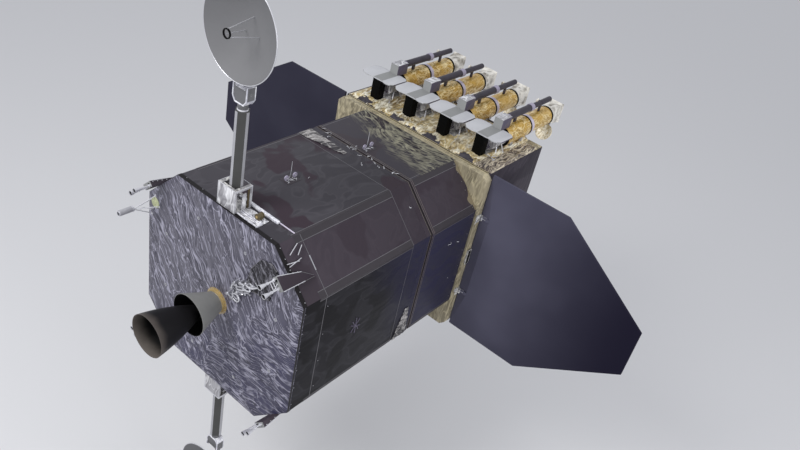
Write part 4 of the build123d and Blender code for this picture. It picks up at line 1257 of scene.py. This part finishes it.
def make_tray(side):
    """Flat tray with bright rails, the long white duct and the cable drum beside an antenna."""
    z = BUS_HALF
    bm = bmesh.new()
    add_sheet(bm, (0.034, -0.372, z + 0.004), (0.15, 0, 0), (0, 0.258, 0), (24, 40), 3)
    crumple(bm, 0.008, 0.06, 6.6, (0, 1, 0), 3.0)
    thicken(bm, FILM)
    for x in (0.040, 0.082, 0.102):
        add_box(bm, (x, -0.37, z), (x + 0.008, -0.114, z + 0.016), 1, 0.002)
    add_box(bm, (0.034, -0.376, z), (0.112, -0.366, z + 0.018), 1, 0.002)
    add_box(bm, (0.215, -0.44, z), (0.250, 0.11, z + 0.026), 1, 0.006)
    add_box(bm, (0.244, -0.62, z), (0.256, -0.43, z + 0.008), 2, 0.002)
    for number in range(10):
        dice = Random(number + 17)
        start = (0.05 + 0.1 * dice.random(), -0.14 - 0.2 * dice.random(), z + 0.012)
        end = Vector(start) + Vector((dice.uniform(-0.02, 0.02), -0.05, 0.004))
        add_pipe(bm, wander(start, end, 4, (0.01, 0.01, 0.006), number + 20), 0.003, 1)
    turn_down(bm, side)
    finishes = ("foil_silver", "foil_white", "tube_band", "box_film")
    finish_piece(bm, f"tray_{side}", "bus", finishes, ("base_rails",), sharp=45)
    bm = bmesh.new()
    spun_bands(bm, [
        (0.104, 0.112, 0.0, 0.029, 0),
        (0.112, 0.160, 0.0, 0.024, 0),
        (0.160, 0.168, 0.0, 0.029, 0),
        (0.100, 0.104, 0.0, 0.012, 1),
    ], -0.3, z + 0.045, 32)
    add_box(bm, (0.108, -0.322, z), (0.163, -0.278, z + 0.03), 0, 0.002)
    turn_down(bm, side)
    finish_piece(bm, f"cable_drum_{side}", "bus", ("rust", "metal_gold"))


def make_restraints(side):
    """Disc pairs with release levers that hold a folded mast."""
    z = BUS_HALF
    bm = bmesh.new()
    for x in (0.76, 1.866):
        add_box(bm, (x - 0.03, -0.034, z), (x + 0.14, 0.092, z + 0.003), 2, 0.001)
        for disc_x in (x, x + 0.11):
            add_peg(bm, (disc_x, 0.024, z + 0.034), (0, 0.012, 0), 0.026, sides=28)
            add_peg(bm, (disc_x, 0.018, z + 0.034), (0, 0.024, 0), 0.008, material=1, sides=20)
            add_box(bm, (disc_x - 0.008, 0.026, z), (disc_x + 0.008, 0.034, z + 0.03), 1, 0.001)
        add_peg(bm, (x + 0.106, 0.08, z + 0.003), (0, 0, 0.152), 0.0045, 0.0025, 1, 14)
        # Bright wires round the foot: painted glints
        for number in range(7):
            dice = Random(number + 3)
            start = (x - 0.02 + 0.022 * number, dice.uniform(-0.03, 0.04), z + 0.006)
            end = (x + 0.14 * dice.random() - 0.02, dice.uniform(0.0, 0.085), z + 0.008)
            add_pipe(bm, wander(start, end, 4, (0.02, 0.02, 0.004), number + 70), 0.002, 1)
    turn_down(bm, side)
    finish_piece(bm, f"restraint_pair_{side}", "bus", ("scope_collar", "strut", "tape"),
                 ("boom_restraints",))


# Slab, module and arrays


def make_slab():
    bm = bmesh.new()
    add_copy(bm, "deck_slab", bevel=0.003)
    finish_piece(bm, "slab_film", "bus", ("foil_tan",), ("deck_slab",))
    bm = bmesh.new()
    edge = SLAB_HIGH[1] - 0.06
    front = SLAB_HIGH[0]
    for z, lift in ((SLAB_HIGH[2], 0.0012), (SLAB_LOW[2], -0.0012)):
        # Cream lines of painted highlight along each front edge of the slab, a dark line between them
        for start, end, material in ((0.036, 0.028, 1), (0.022, 0.012, 0), (0.007, 0.001, 1)):
            add_box(bm, (front - start, -edge, z - lift * 0.2), (front - end, edge, z + lift), material)
    finish_piece(bm, "slab_rim_lines", "bus", ("rim_dark", "rim_highlight"))


def hold_module(place):
    """The film on the module is held at its edges and lies lower under the tubes."""
    edge = min(place.x - SLAB_HIGH[0] - 0.004, 3.74 - place.x, place.y + 0.83, 1.03 - place.y) / 0.05
    under = min(abs(place.y - y) for y in TELESCOPE_Y.values())
    return min(edge, 0.45 + under * 4.5)


def module_rule(normal, middle):
    """Dark film behind the electronics boxes and along the slab, gold film elsewhere."""
    spread = noise.noise(middle * 14) * 0.05 + noise.noise(middle * 40) * 0.02
    behind_box = any(y - 0.02 < middle.y + spread < y + 0.14 for y in TELESCOPE_Y.values())
    reach = 0.10 if behind_box else 0.012
    return 1 if middle.x - SLAB_HIGH[0] < reach + spread else 0


def make_module(settings):
    bm = bmesh.new()
    top = MODULE_HIGH[2]
    start = SLAB_HIGH[0] + 0.004
    add_sheet(bm, (start, -0.83, top + 0.001), (3.74 - start, 0, 0), (0, 1.86, 0), (110, 190))
    paint_by(bm, module_rule)
    crumple(bm, settings.module_depth, 0.12, 1.3, (0.8, -0.6, 0), 1.8, hold_module)
    thicken(bm, FILM)
    finish_piece(bm, "module_blanket", "bus", ("foil_cream", "foil_strip"), sharp=40)
    bm = bmesh.new()
    add_sheet(bm, (start, -1.045, top + 0.001), (3.78 - start, 0, 0), (0, 0.235, 0), (100, 26))
    crumple(bm, 0.02, 0.06, 9.4, (0.97, 0.24, 0), 4.5,
            lambda place: min(place.x - start, 3.70 - place.x, place.y + 1.045, -0.80 - place.y) / 0.03)
    thicken(bm, FILM)
    finish_piece(bm, "module_shoulder", "bus", ("foil_shoulder",), sharp=40)
    bm = bmesh.new()
    add_rod(bm, (3.0, -0.83, top), (3.72, -0.83, top), 0.042, sides=28)
    long_edges = [edge for edge in bm.edges if abs(edge.verts[0].co.x - edge.verts[1].co.x) > 0.5]
    bmesh.ops.subdivide_edges(bm, edges=long_edges, cuts=60, use_grid_fill=True)
    face_out(bm)
    crumple(bm, 0.014, 0.07, 4.4, (1, 0, 0), 1.8)
    add_box(bm, (3.63, -1.046, top), (3.788, -0.86, top + 0.004), 1, 0.001)
    finish_piece(bm, "module_roll", "bus", ("foil_cream", "foil_tan"), sharp=40)
    bm = bmesh.new()
    for number in NUMBERS:
        y = TELESCOPE_Y[number]
        for offset in (-0.16, 0.16):
            start = (2.91, y + offset, top + 0.03)
            end = (3.02, y + offset * 0.7, top + 0.03)
            add_pipe(bm, wander(start, end, 5, (0.03, 0.04, 0.01), number + int(offset * 100)), 0.004, 0)
    finish_piece(bm, "module_wires", "bus", ("strut",))


def make_array(side, node):
    """Panel with a cell sheet on its sun side and blocked hinges."""
    bm = bmesh.new()
    add_copy(bm, node)
    bm.normal_update()
    sun_face = max(bm.faces, key=lambda face: face.calc_area() if face.normal.x > 0.9 else 0.0)
    bmesh.ops.inset_region(bm, faces=[sun_face], thickness=0.022, depth=0.0, use_even_offset=True)
    sun_face.material_index = 1
    finish_piece(bm, f"{node}_panel", node, ("array_back", "cells"), (node,))
    bm = bmesh.new()
    for z in HINGE_Z:
        for number in range(2):
            y = side * (1.122 + 0.02 * number)
            add_peg(bm, (2.690, y, z), (-0.004, 0, 0), 0.006, sides=6)
        add_box(bm, (2.7, side * 1.095, z - 0.022), (2.7035, side * 1.15, z + 0.022), 0, 0.001)
    finish_piece(bm, f"{node}_fittings", node, ("strut",))


def make_hinges():
    """Hinge forks with springs, their loose silver film, and the latch plates."""
    bm = bmesh.new()
    add_copy(bm, "array_hinges", bevel=0.0015)
    for side in (-1, 1):
        for z in HINGE_Z:
            for number in range(6):
                dice = Random(number + int(z * 50))
                start = (2.66 - 0.012 * number, side * 1.079, z - 0.05 + 0.02 * number)
                end = (2.61 + dice.uniform(-0.02, 0.03), side * 1.082, z + dice.uniform(-0.07, 0.07))
                add_pipe(bm, wander(start, end, 4, (0.012, 0.004, 0.02), number + 90), 0.0035, number % 2)
            spring = []
            for turn in (0.9 * n for n in range(32)):
                y = side * (1.098 + 0.013 * sin(turn))
                spring.append((2.69 + 0.013 * cos(turn), y, z - 0.018 + 0.0012 * turn))
            add_pipe(bm, spring, 0.0022, 1)
            add_box(bm, (2.625, side * 1.076, z - 0.045), (2.665, side * 1.09, z - 0.02), 0, 0.003)
            add_box(bm, (2.63, side * 1.076, z + 0.02), (2.672, side * 1.09, z + 0.048), 0, 0.003)
        add_box(bm, (2.618, side * 1.09, -0.11), (2.682, side * 1.098, 0.09), 0, 0.002)
        add_box(bm, (2.626, side * 1.089, -0.1), (2.674, side * 1.099, 0.08), 2, 0.001)
    finishes = ("foil_silver", "strut", "band_black")
    finish_piece(bm, "hinge_forks", "bus", finishes, ("array_hinges",))


def make_sun_side():
    """Instrument fronts with their optics, from the kind of craft."""
    bm = bmesh.new()
    add_copy(bm, "front_apertures", bevel=0.0025)
    paint_by(bm, lambda normal, middle: 1 if middle.x > 3.818 else 0)
    face = MODULE_HIGH[0] + 0.025
    for y, z, radius in ((0.52, 0.26, 0.094), (0.76, -0.16, 0.041), (-0.52, -0.12, 0.059)):
        add_peg(bm, (face - 0.002, y, z), (0.01, 0, 0), radius, material=2, sides=48)
    for y in (-0.8, -0.66, -0.52, -0.38, -0.24):
        add_box(bm, (face - 0.002, y - 0.033, 0.077), (face + 0.008, y + 0.033, 0.243), 2, 0.001)
    for low_y, high_y, low_z, high_z in ((0.12, 0.92, -0.42, 0.62), (-0.92, -0.12, -0.30, 0.48)):
        for number in range(6):
            y = low_y + 0.03 + (high_y - low_y - 0.06) * number / 5
            for z in (low_z + 0.02, high_z - 0.02):
                add_peg(bm, (face, y, z), (0.005, 0, 0), 0.007, material=1, sides=6)
    finish_piece(bm, "instrument_fronts", "bus", ("foil_white", "metal_silver", "glass"),
                 ("front_apertures",))
    bm = bmesh.new()
    add_copy(bm, "instrument_module", bevel=0.006)
    paint_by(bm, lambda normal, middle: 1 if normal.x > 0.8 else 0)
    finishes = ("foil_module", "foil_white")
    finish_piece(bm, "module_film", "bus", finishes, ("instrument_module",))


# Telescopes


def square_off(verts, y, half_y, half_z, x):
    """Moves a ring of vertices out onto a rectangle."""
    for vert in verts:
        dy = vert.co.y - y
        dz = vert.co.z - TUBE_Z
        grow = min(half_y / max(abs(dy), 1e-6), half_z / max(abs(dz), 1e-6))
        vert.co = Vector((x, y + dy * grow, TUBE_Z + dz * grow))


def add_ring(bm, x, y, radius, steps=48):
    """A circle of vertices round a telescope's line."""
    place = Matrix.Translation((x, y, TUBE_Z)) @ Matrix.Rotation(pi / 2, 4, "Y")
    return bmesh.ops.create_circle(bm, cap_ends=False, radius=radius, segments=steps, matrix=place)["verts"]


def ring_edges(verts):
    """The edges that join these vertices to each other."""
    inside = set(verts)
    return [edge for edge in edges_of(verts) if inside.issuperset(edge.verts)]


def make_hood(number):
    """Film hood from the round tube to the square front, its front plate and the door's lugs."""
    y = TELESCOPE_Y[number]
    bm = bmesh.new()
    start = add_ring(bm, TUBE_END, y, FRONT_RADIUS - 0.001)
    end = add_ring(bm, HOOD_END, y, TUBE_RADIUS)
    square_off(end, y, *HOOD_HALF, HOOD_END)
    bmesh.ops.bridge_loops(bm, edges=ring_edges(start) + ring_edges(end))
    long_edges = [edge for edge in bm.edges if abs(edge.verts[0].co.x - edge.verts[1].co.x) > 0.1]
    bmesh.ops.subdivide_edges(bm, edges=long_edges, cuts=9, use_grid_fill=True)
    face_out(bm)
    middle = [vert for vert in bm.verts if TUBE_END + 0.005 < vert.co.x < HOOD_END - 0.003]
    crumple(bm, -0.016, 0.11, number * 3.7, verts=middle)
    thicken(bm, 0.002)
    outer = add_ring(bm, HOOD_END, y, TUBE_RADIUS)
    square_off(outer, y, HOOD_HALF[0] - 0.003, HOOD_HALF[1] - 0.003, HOOD_END - 0.003)
    inner = add_ring(bm, HOOD_END - 0.003, y, APERTURE_RADIUS)
    plate = bmesh.ops.bridge_loops(bm, edges=ring_edges(outer) + ring_edges(inner))["faces"]
    for face in plate:
        face.material_index = 1
    bmesh.ops.solidify(bm, geom=plate, thickness=0.002)
    rim = (HOOD_END - 0.006, HOOD_END, APERTURE_RADIUS - 0.001, APERTURE_RADIUS + 0.005, 2)
    spun_bands(bm, [rim], y, TUBE_Z, 48)
    x, z = DOOR_HINGE
    floor = TUBE_Z - HOOD_HALF[1]
    for low_y in (y - 0.033, y + 0.025):
        add_box(bm, (x - 0.009, low_y, z), (HOOD_END, low_y + 0.008, floor + 0.003), 2, 0.001)
        add_peg(bm, (x, low_y, z), (0, 0.008, 0), 0.009, material=2)
    add_peg(bm, (x, y - 0.035, z), (0, 0.07, 0), 0.003, material=2, sides=14)
    finishes = ("hood_film", "band_black", "metal_silver")
    finish_piece(bm, f"hood_film_{number}", "bus", finishes, (f"telescope_hood_{number}",),
                 sharp=22)


def make_door(number):
    """Door with a crumpled dome, drawn shut and swung to its open place."""
    y = TELESCOPE_Y[number]
    x, z = DOOR_HINGE
    bm = bmesh.new()
    flat = DOOR_RADIUS - 0.005
    rim = DOOR_FACE + 0.007
    dome = [(DOOR_FACE, 0.0), (DOOR_FACE, flat), (DOOR_FACE + 0.004, DOOR_RADIUS), (rim, flat)]
    dome += [(rim + 0.005 * (1 - (r / flat) ** 2), r) for r in (0.08, 0.06, 0.04, 0.02, 0.0)]
    add_spun(bm, dome, y, TUBE_Z, 0, 48, closed=False)
    spun_bands(bm, [(DOOR_FACE - 0.006, DOOR_FACE, 0.0, flat, 1)], y, TUBE_Z, 48)
    face_out(bm)
    rounded = [vert for vert in bm.verts if vert.co.x > DOOR_FACE + 0.005]
    crumple(bm, 0.005, 0.05, number * 5.1, verts=rounded)
    add_box(bm, (DOOR_FACE - 0.006, y - 0.018, z - 0.005), (DOOR_FACE, y + 0.018, TUBE_Z - 0.085), 2, 0.001)
    add_box(bm, (x, y - 0.018, z - 0.005), (DOOR_FACE, y + 0.018, z + 0.005), 2, 0.001)
    knuckle = [(-0.023, 0.003), (-0.023, 0.007), (0.023, 0.007), (0.023, 0.003)]
    known = set(bm.verts)
    add_spun(bm, knuckle, 0, 0, 2, 24)
    turn = Matrix.Translation((x, y, z)) @ Matrix.Rotation(pi / 2, 4, "Z")
    bmesh.ops.transform(bm, matrix=turn, verts=added(bm, known))
    swing = Matrix.Rotation(radians(DOOR_OPEN), 3, "Y")
    bmesh.ops.rotate(bm, cent=(x, y, z), matrix=swing, verts=bm.verts)
    finishes = ("door_film", "band_black", "metal_silver")
    finish_piece(bm, f"door_leaf_{number}", f"door_{number}", finishes,
                 (f"telescope_door_{number}",), sharp=30)


def make_tube(number):
    """Gold film tube in two steps with its bands, mirror cell, baffle and front mirror."""
    y = TELESCOPE_Y[number]
    bm = bmesh.new()
    band = TUBE_STEP + 0.072
    spun_bands(bm, [
        (TUBE_START + 0.022, TUBE_STEP - 0.012, 0.0, TUBE_RADIUS, 0),
        # Black ring at the step of the tube: painted shadow of the gap there
        (TUBE_STEP - 0.012, TUBE_STEP + 0.012, 0.0, TUBE_RADIUS + 0.002, 1),
        (TUBE_STEP + 0.012, band, 0.0, FRONT_RADIUS + 0.004, 2),
        (band, TUBE_OPEN, 0.0, FRONT_RADIUS, 0),
        (TUBE_OPEN, TUBE_END - 0.026, FRONT_RADIUS - 0.004, FRONT_RADIUS, 0),
        (TUBE_END - 0.026, TUBE_END, FRONT_RADIUS - 0.004, FRONT_RADIUS + 0.004, 1),
        (CELL_START, TUBE_START + 0.012, 0.0, CELL_RADIUS, 5),
        (TUBE_START + 0.012, TUBE_START + 0.022, 0.0, TUBE_RADIUS + 0.001, 1),
        (CELL_START + 0.02, CELL_START + 0.03, 0.0, CELL_RADIUS + 0.004, 4),
        (TUBE_OPEN - 0.001, TUBE_OPEN + 0.003, 0.0, 0.098, 3),
    ], y, TUBE_Z, 72)
    bolt_circle(bm, CELL_START, 0.075, 8, 0.006, 4, y, TUBE_Z)
    paint_inside(bm, y, TUBE_Z, 1)
    finish_piece(bm, f"tube_film_{number}", "bus",
                 ("foil_gold", "band_black", "tube_band", "glass", "metal_silver", "box_film"),
                 (f"telescope_tube_{number}",))


def radiator_rule(normal, middle):
    """White paint above, grey aft face of the camera box, violet film on its sides."""
    if middle.z > PLATE_TOP + 0.012 and normal.x < -0.7:
        return 1
    if middle.z > PLATE_TOP + 0.012 and abs(normal.y) > 0.7:
        return 2
    return 4 if normal.z > 0.7 and middle.z > PLATE_HIGH[2] - 0.01 else 0


def make_radiator(number):
    y = TELESCOPE_Y[number]
    bm = bmesh.new()
    add_copy(bm, f"radiator_{number}", bevel=0.0025)
    paint_by(bm, radiator_rule)
    stripe = (CELL_START - 0.207, CELL_START + 0.092)
    add_box(bm, (stripe[0], y - 0.067, PLATE_TOP - 0.0005), (stripe[1], y + 0.067, PLATE_TOP + 0.0008), 1)
    top = PLATE_HIGH[2]
    for corner_y in (y - 0.045, y + 0.045):
        for corner_x in (CELL_START + 0.09, CELL_START + 0.245):
            add_peg(bm, (corner_x, corner_y, top - 0.001), (0, 0, 0.004), 0.005, material=3, sides=6)
    finishes = ("radiator_white", "radiator_grey", "radiator_side", "metal_silver", "box_film")
    finish_piece(bm, f"radiator_plate_{number}", "bus", finishes, (f"radiator_{number}",))


def make_guides():
    """Guide scopes: stepped tubes with collars, lenses, feet and a side bracket."""
    bm = bmesh.new()
    start = TUBE_START + 0.09
    collar = TUBE_START + 0.53
    front = TUBE_START + 0.59
    end = TUBE_START + 1.005
    for y in TELESCOPE_Y.values():
        spun_bands(bm, [
            (start, collar, 0.0, 0.040, 0),
            (start - 0.006, start + 0.002, 0.0, 0.034, 1),
            (collar, collar + 0.012, 0.0, 0.047, 1),
            (collar + 0.012, collar + 0.04, 0.0, 0.0465, 1),
            (collar + 0.04, front, 0.0, 0.047, 1),
            (front, end - 0.03, 0.0, 0.032, 0),
            (end - 0.03, end, 0.025, 0.032, 0),
            (front + 0.19, front + 0.198, 0.0, 0.0335, 0),
            (end - 0.031, end - 0.028, 0.0, 0.0245, 2),
        ], y, GUIDE_Z, 40)
        for low_x, high_x, below, above in (
            (TUBE_START + 0.23, TUBE_START + 0.28, TUBE_RADIUS, 0.040),
            (TUBE_START + 0.78, TUBE_START + 0.82, FRONT_RADIUS, 0.032),
        ):
            low = (low_x, y - 0.009, TUBE_Z + below - 0.006)
            add_box(bm, low, (high_x, y + 0.009, GUIDE_Z - above + 0.008), 0, 0.002)
        middle = front + 0.2
        low = (middle - 0.02, y + 0.028, GUIDE_Z - 0.02)
        add_box(bm, low, (middle + 0.02, y + 0.056, GUIDE_Z + 0.028), 3, 0.003)
        add_peg(bm, (middle, y + 0.042, GUIDE_Z + 0.02), (0, 0, 0.022), 0.009, 0.004, 3, 16)
    finishes = ("scope_grey", "scope_collar", "glass", "hood_film")
    finish_piece(bm, "guide_tubes", "bus", finishes, ("guide_scopes",))


def make_boxes():
    """Electronics boxes with flanges, feet and plugs, and the cables to the mirror cells."""
    bm = bmesh.new()
    add_copy(bm, "electronics_boxes", bevel=0.002)
    back, front = BOX_LOW[0], BOX_HIGH[0]
    plugs = (1.10, 1.15, 1.25)
    for y in TELESCOPE_Y.values():
        for z in (1.06, 1.20, BOX_HIGH[2] - 0.008):
            add_box(bm, (back - 0.002, y - 0.012, z), (front + 0.002, y + 0.107, z + 0.006), 0, 0.001)
        for foot_y in (y + 0.005, y + 0.09):
            add_peg(bm, (back + 0.008, foot_y, 1.05), (0, 0, 0.025), 0.007, sides=6)
        for plug_z in plugs:
            add_peg(bm, (front - 0.0005, y + 0.03, plug_z), (0.0145, 0, 0), 0.011, material=1, sides=16)
    finishes = ("box_black", "metal_silver")
    finish_piece(bm, "box_covers", "bus", finishes, ("electronics_boxes",))
    bm = bmesh.new()
    for number, y in TELESCOPE_Y.items():
        for plug_z in plugs:
            start = (front + 0.01, y + 0.03, plug_z)
            end = (CELL_START, y - 0.02, TUBE_Z - 0.06)
            add_pipe(bm, wander(start, end, 4, (0.008, 0.03, 0.02), number * 7), 0.004)
        for side in (-1, 1):
            aft_top = (3.10, y + side * 0.07, TUBE_Z - 0.04)
            front_top = (3.14, y + side * 0.085, TUBE_Z)
            add_rod(bm, (3.06, y + side * 0.10, 1.06), aft_top, 0.008, material=1, sides=14)
            add_rod(bm, (3.20, y + side * 0.12, 1.06), front_top, 0.008, material=1, sides=14)
    finish_piece(bm, "cell_cables", "bus", ("radiator_side", "strut"))


def make_cradles():
    """White film over the cradles that carry the tubes."""
    bm = bmesh.new()
    add_copy(bm, "telescope_saddles", bevel=0.003)
    for y in TELESCOPE_Y.values():
        low = (TUBE_STEP + 0.008, y - 0.05, MODULE_HIGH[2] + 0.002)
        add_box(bm, low, (TUBE_STEP + 0.068, y + 0.05, TUBE_Z - FRONT_RADIUS + 0.01), 0, 0.004)
    finish_piece(bm, "cradle_film", "bus", ("foil_silver",), ("telescope_saddles",))


# Stage


def view_camera(settings):
    """Camera at the place and angle from which the photo was taken."""
    eye = Vector((-3.669, -4.1073, 4.8683))
    yaw, pitch, roll = (radians(a) for a in (32.267, -33.8937, 13.2797))
    forward = Vector((cos(pitch) * cos(yaw), cos(pitch) * sin(yaw), sin(pitch)))
    level = Vector((sin(yaw), -cos(yaw), 0))
    upright = level.cross(forward)
    right = cos(roll) * level + sin(roll) * upright
    up = cos(roll) * upright - sin(roll) * level
    camera = bpy.data.objects.new("camera", bpy.data.cameras.new("camera"))
    camera.data.lens = settings.lens
    camera.data.sensor_width = 36
    camera.data.clip_end = 400
    turn = Matrix((right, up, -forward)).transposed().to_4x4()
    camera.matrix_world = Matrix.Translation(eye) @ turn
    bpy.context.collection.objects.link(camera)
    bpy.context.scene.camera = camera


def backdrop_material(name, colour):
    """Matt pale paint with a faint cloud in it."""
    material = bpy.data.materials.new(name)
    material.use_nodes = True
    tree = material.node_tree
    tree.nodes.clear()
    cloud = add_node(tree, "ShaderNodeTexNoise", inputs={"Scale": 0.6, "Detail": 2.0})
    tint = mixed(tree, cloud.outputs["Fac"], colour, "#d4d4d6")
    paint_node = add_node(tree, "ShaderNodeBsdfDiffuse", inputs={"Color": tint})
    add_node(tree, "ShaderNodeOutputMaterial", inputs={"Surface": paint_node.outputs["BSDF"]})
    return material


def soft_lamp(name, place, size, power):
    """A square lamp aimed at the middle of the craft."""
    lamp = bpy.data.objects.new(name, bpy.data.lights.new(name, "AREA"))
    lamp.data.size = size
    lamp.data.energy = power
    aim = Vector((1.8, 0, 0.3)) - Vector(place)
    lamp.matrix_world = Matrix.Translation(place) @ aim.to_track_quat("-Z", "Y").to_matrix().to_4x4()
    bpy.context.collection.objects.link(lamp)


def make_floor(settings):
    bm = bmesh.new()
    bmesh.ops.create_grid(bm, x_segments=2, y_segments=2, size=90, matrix=Matrix.Translation((0, 0, -3.4)))
    mesh = bpy.data.meshes.new("floor")
    bm.to_mesh(mesh)
    bm.free()
    floor = bpy.data.objects.new("floor", mesh)
    mesh.materials.append(backdrop_material("Pale floor paint", settings.floor_hex))
    bpy.context.collection.objects.link(floor)


def make_world():
    world = bpy.data.worlds.new("studio")
    bpy.context.scene.world = world
    world.use_nodes = True
    tree = world.node_tree
    tree.nodes.clear()
    sky = add_node(tree, "ShaderNodeBackground", inputs={"Color": linear("#e8eaf0"), "Strength": 0.8})
    pale = add_node(tree, "ShaderNodeBackground", inputs={"Color": linear("#f4f4f6"), "Strength": 1.0})
    path = add_node(tree, "ShaderNodeLightPath")
    mix = add_node(tree, "ShaderNodeMixShader", inputs={
        0: path.outputs["Is Camera Ray"],
        1: sky.outputs["Background"],
        2: pale.outputs["Background"],
    })
    add_node(tree, "ShaderNodeOutputWorld", inputs={"Surface": mix.outputs["Shader"]})


class StageSettings(bpy.types.PropertyGroup):
    lens: bpy.props.FloatProperty(
        name="Lens", description="Focal length of the view", default=33.9265, subtype="DISTANCE_CAMERA")
    floor_hex: bpy.props.StringProperty(
        name="Floor colour", description="Colour of the floor as a hex value", default="#dededf")


class BlanketSettings(bpy.types.PropertyGroup):
    aft_depth: bpy.props.FloatProperty(
        name="Aft folds", description="Height of the folds on the aft deck", default=0.006, unit="LENGTH")
    frost_depth: bpy.props.FloatProperty(
        name="Bus folds", description="Height of the folds on the top deck", default=0.007, unit="LENGTH")
    module_depth: bpy.props.FloatProperty(
        name="Module folds", description="Height of the folds on the instrument module", default=0.035,
        unit="LENGTH")


class SATELLITE_OT_stage(bpy.types.Operator):
    """Adds the floor, the lamps, the sky and the camera"""
    bl_idname = "satellite.stage"
    bl_label = "Stage"

    def execute(self, context):
        settings = context.scene.satellite_stage
        view_camera(settings)
        make_floor(settings)
        make_world()
        soft_lamp("key", (-7, 2.5, 9), 5, 900)
        soft_lamp("fill", (1, -9, 3), 6, 300)
        context.scene.view_settings.view_transform = "Standard"
        return {"FINISHED"}


class SATELLITE_OT_finishes(bpy.types.Operator):
    """Makes the materials and gives every node of the frame its finish"""
    bl_idname = "satellite.finishes"
    bl_label = "Finishes"

    def execute(self, context):
        FINISHES.update(make_materials())
        dress_frame()
        return {"FINISHED"}


class SATELLITE_OT_bus(bpy.types.Operator):
    """Films, creases, edge tapes, seams and wires of the bus"""
    bl_idname = "satellite.bus"
    bl_label = "Bus films and trim"

    def execute(self, context):
        settings = context.scene.satellite_blankets
        dress_bus()
        make_bus_trim()
        make_bus_creases(settings)
        return {"FINISHED"}


class SATELLITE_OT_aft_deck(bpy.types.Operator):
    """The crumpled aft blanket with washers, patch, torn film and pipes"""
    bl_idname = "satellite.aft_deck"
    bl_label = "Aft deck"

    def execute(self, context):
        make_aft_blanket(context.scene.satellite_blankets)
        make_aft_details()
        make_torn_film()
        make_sensor()
        return {"FINISHED"}


class SATELLITE_OT_engine(bpy.types.Operator):
    """Main engine and the thruster pods on the four corner panels"""
    bl_idname = "satellite.engine"
    bl_label = "Engine and thrusters"

    def execute(self, context):
        make_engine()
        make_pods()
        return {"FINISHED"}


class SATELLITE_OT_antennas(bpy.types.Operator):
    """Both antennas with their boxes, masts, gimbals, dishes, trays and restraints"""
    bl_idname = "satellite.antennas"
    bl_label = "Antennas"

    def execute(self, context):
        for side in ("top", "bottom"):
            make_antenna(side)
            make_tray(side)
            make_restraints(side)
        return {"FINISHED"}


class SATELLITE_OT_module(bpy.types.Operator):
    """Deck slab, instrument module, its blankets and its sun side"""
    bl_idname = "satellite.module"
    bl_label = "Instrument module"

    def execute(self, context):
        make_slab()
        make_sun_side()
        make_module(context.scene.satellite_blankets)
        return {"FINISHED"}


class SATELLITE_OT_arrays(bpy.types.Operator):
    """Both solar arrays with their cells, hinges and latches"""
    bl_idname = "satellite.arrays"
    bl_label = "Solar arrays"

    def execute(self, context):
        make_array(1, "array_left")
        make_array(-1, "array_right")
        make_hinges()
        return {"FINISHED"}


class SATELLITE_OT_telescopes(bpy.types.Operator):
    """The four telescopes with hoods, doors, radiators, guide scopes and electronics"""
    bl_idname = "satellite.telescopes"
    bl_label = "Telescopes"

    def execute(self, context):
        for number in NUMBERS:
            make_tube(number)
            make_hood(number)
            make_door(number)
            make_radiator(number)
        make_guides()
        make_boxes()
        make_cradles()
        return {"FINISHED"}


class SATELLITE_PT_panel(bpy.types.Panel):
    """Lists the steps that dress the satellite"""
    bl_idname = "SATELLITE_PT_panel"
    bl_label = "Satellite"
    bl_space_type = "VIEW_3D"
    bl_region_type = "UI"
    bl_category = "Satellite"

    def draw(self, context):
        for step in STEPS:
            self.layout.operator(step.bl_idname)


STEPS = (
    SATELLITE_OT_stage,
    SATELLITE_OT_finishes,
    SATELLITE_OT_bus,
    SATELLITE_OT_aft_deck,
    SATELLITE_OT_engine,
    SATELLITE_OT_antennas,
    SATELLITE_OT_module,
    SATELLITE_OT_arrays,
    SATELLITE_OT_telescopes,
)
SETTINGS = {
    "satellite_stage": StageSettings,
    "satellite_blankets": BlanketSettings,
}


def register():
    for kind in (*SETTINGS.values(), SATELLITE_PT_panel, *STEPS):
        bpy.utils.register_class(kind)
    for name, kind in SETTINGS.items():
        setattr(bpy.types.Scene, name, bpy.props.PointerProperty(type=kind))


def unregister():
    for name in SETTINGS:
        delattr(bpy.types.Scene, name)
    for kind in reversed((*SETTINGS.values(), SATELLITE_PT_panel, *STEPS)):
        bpy.utils.unregister_class(kind)


def main():
    noise.seed_set(FOLD_SEED)  # noise_vector starts from the clock otherwise
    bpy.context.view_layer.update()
    register()
    for step in STEPS:
        group, name = step.bl_idname.split(".")
        getattr(getattr(bpy.ops, group), name)()


if __name__ == "__main__":
    main()
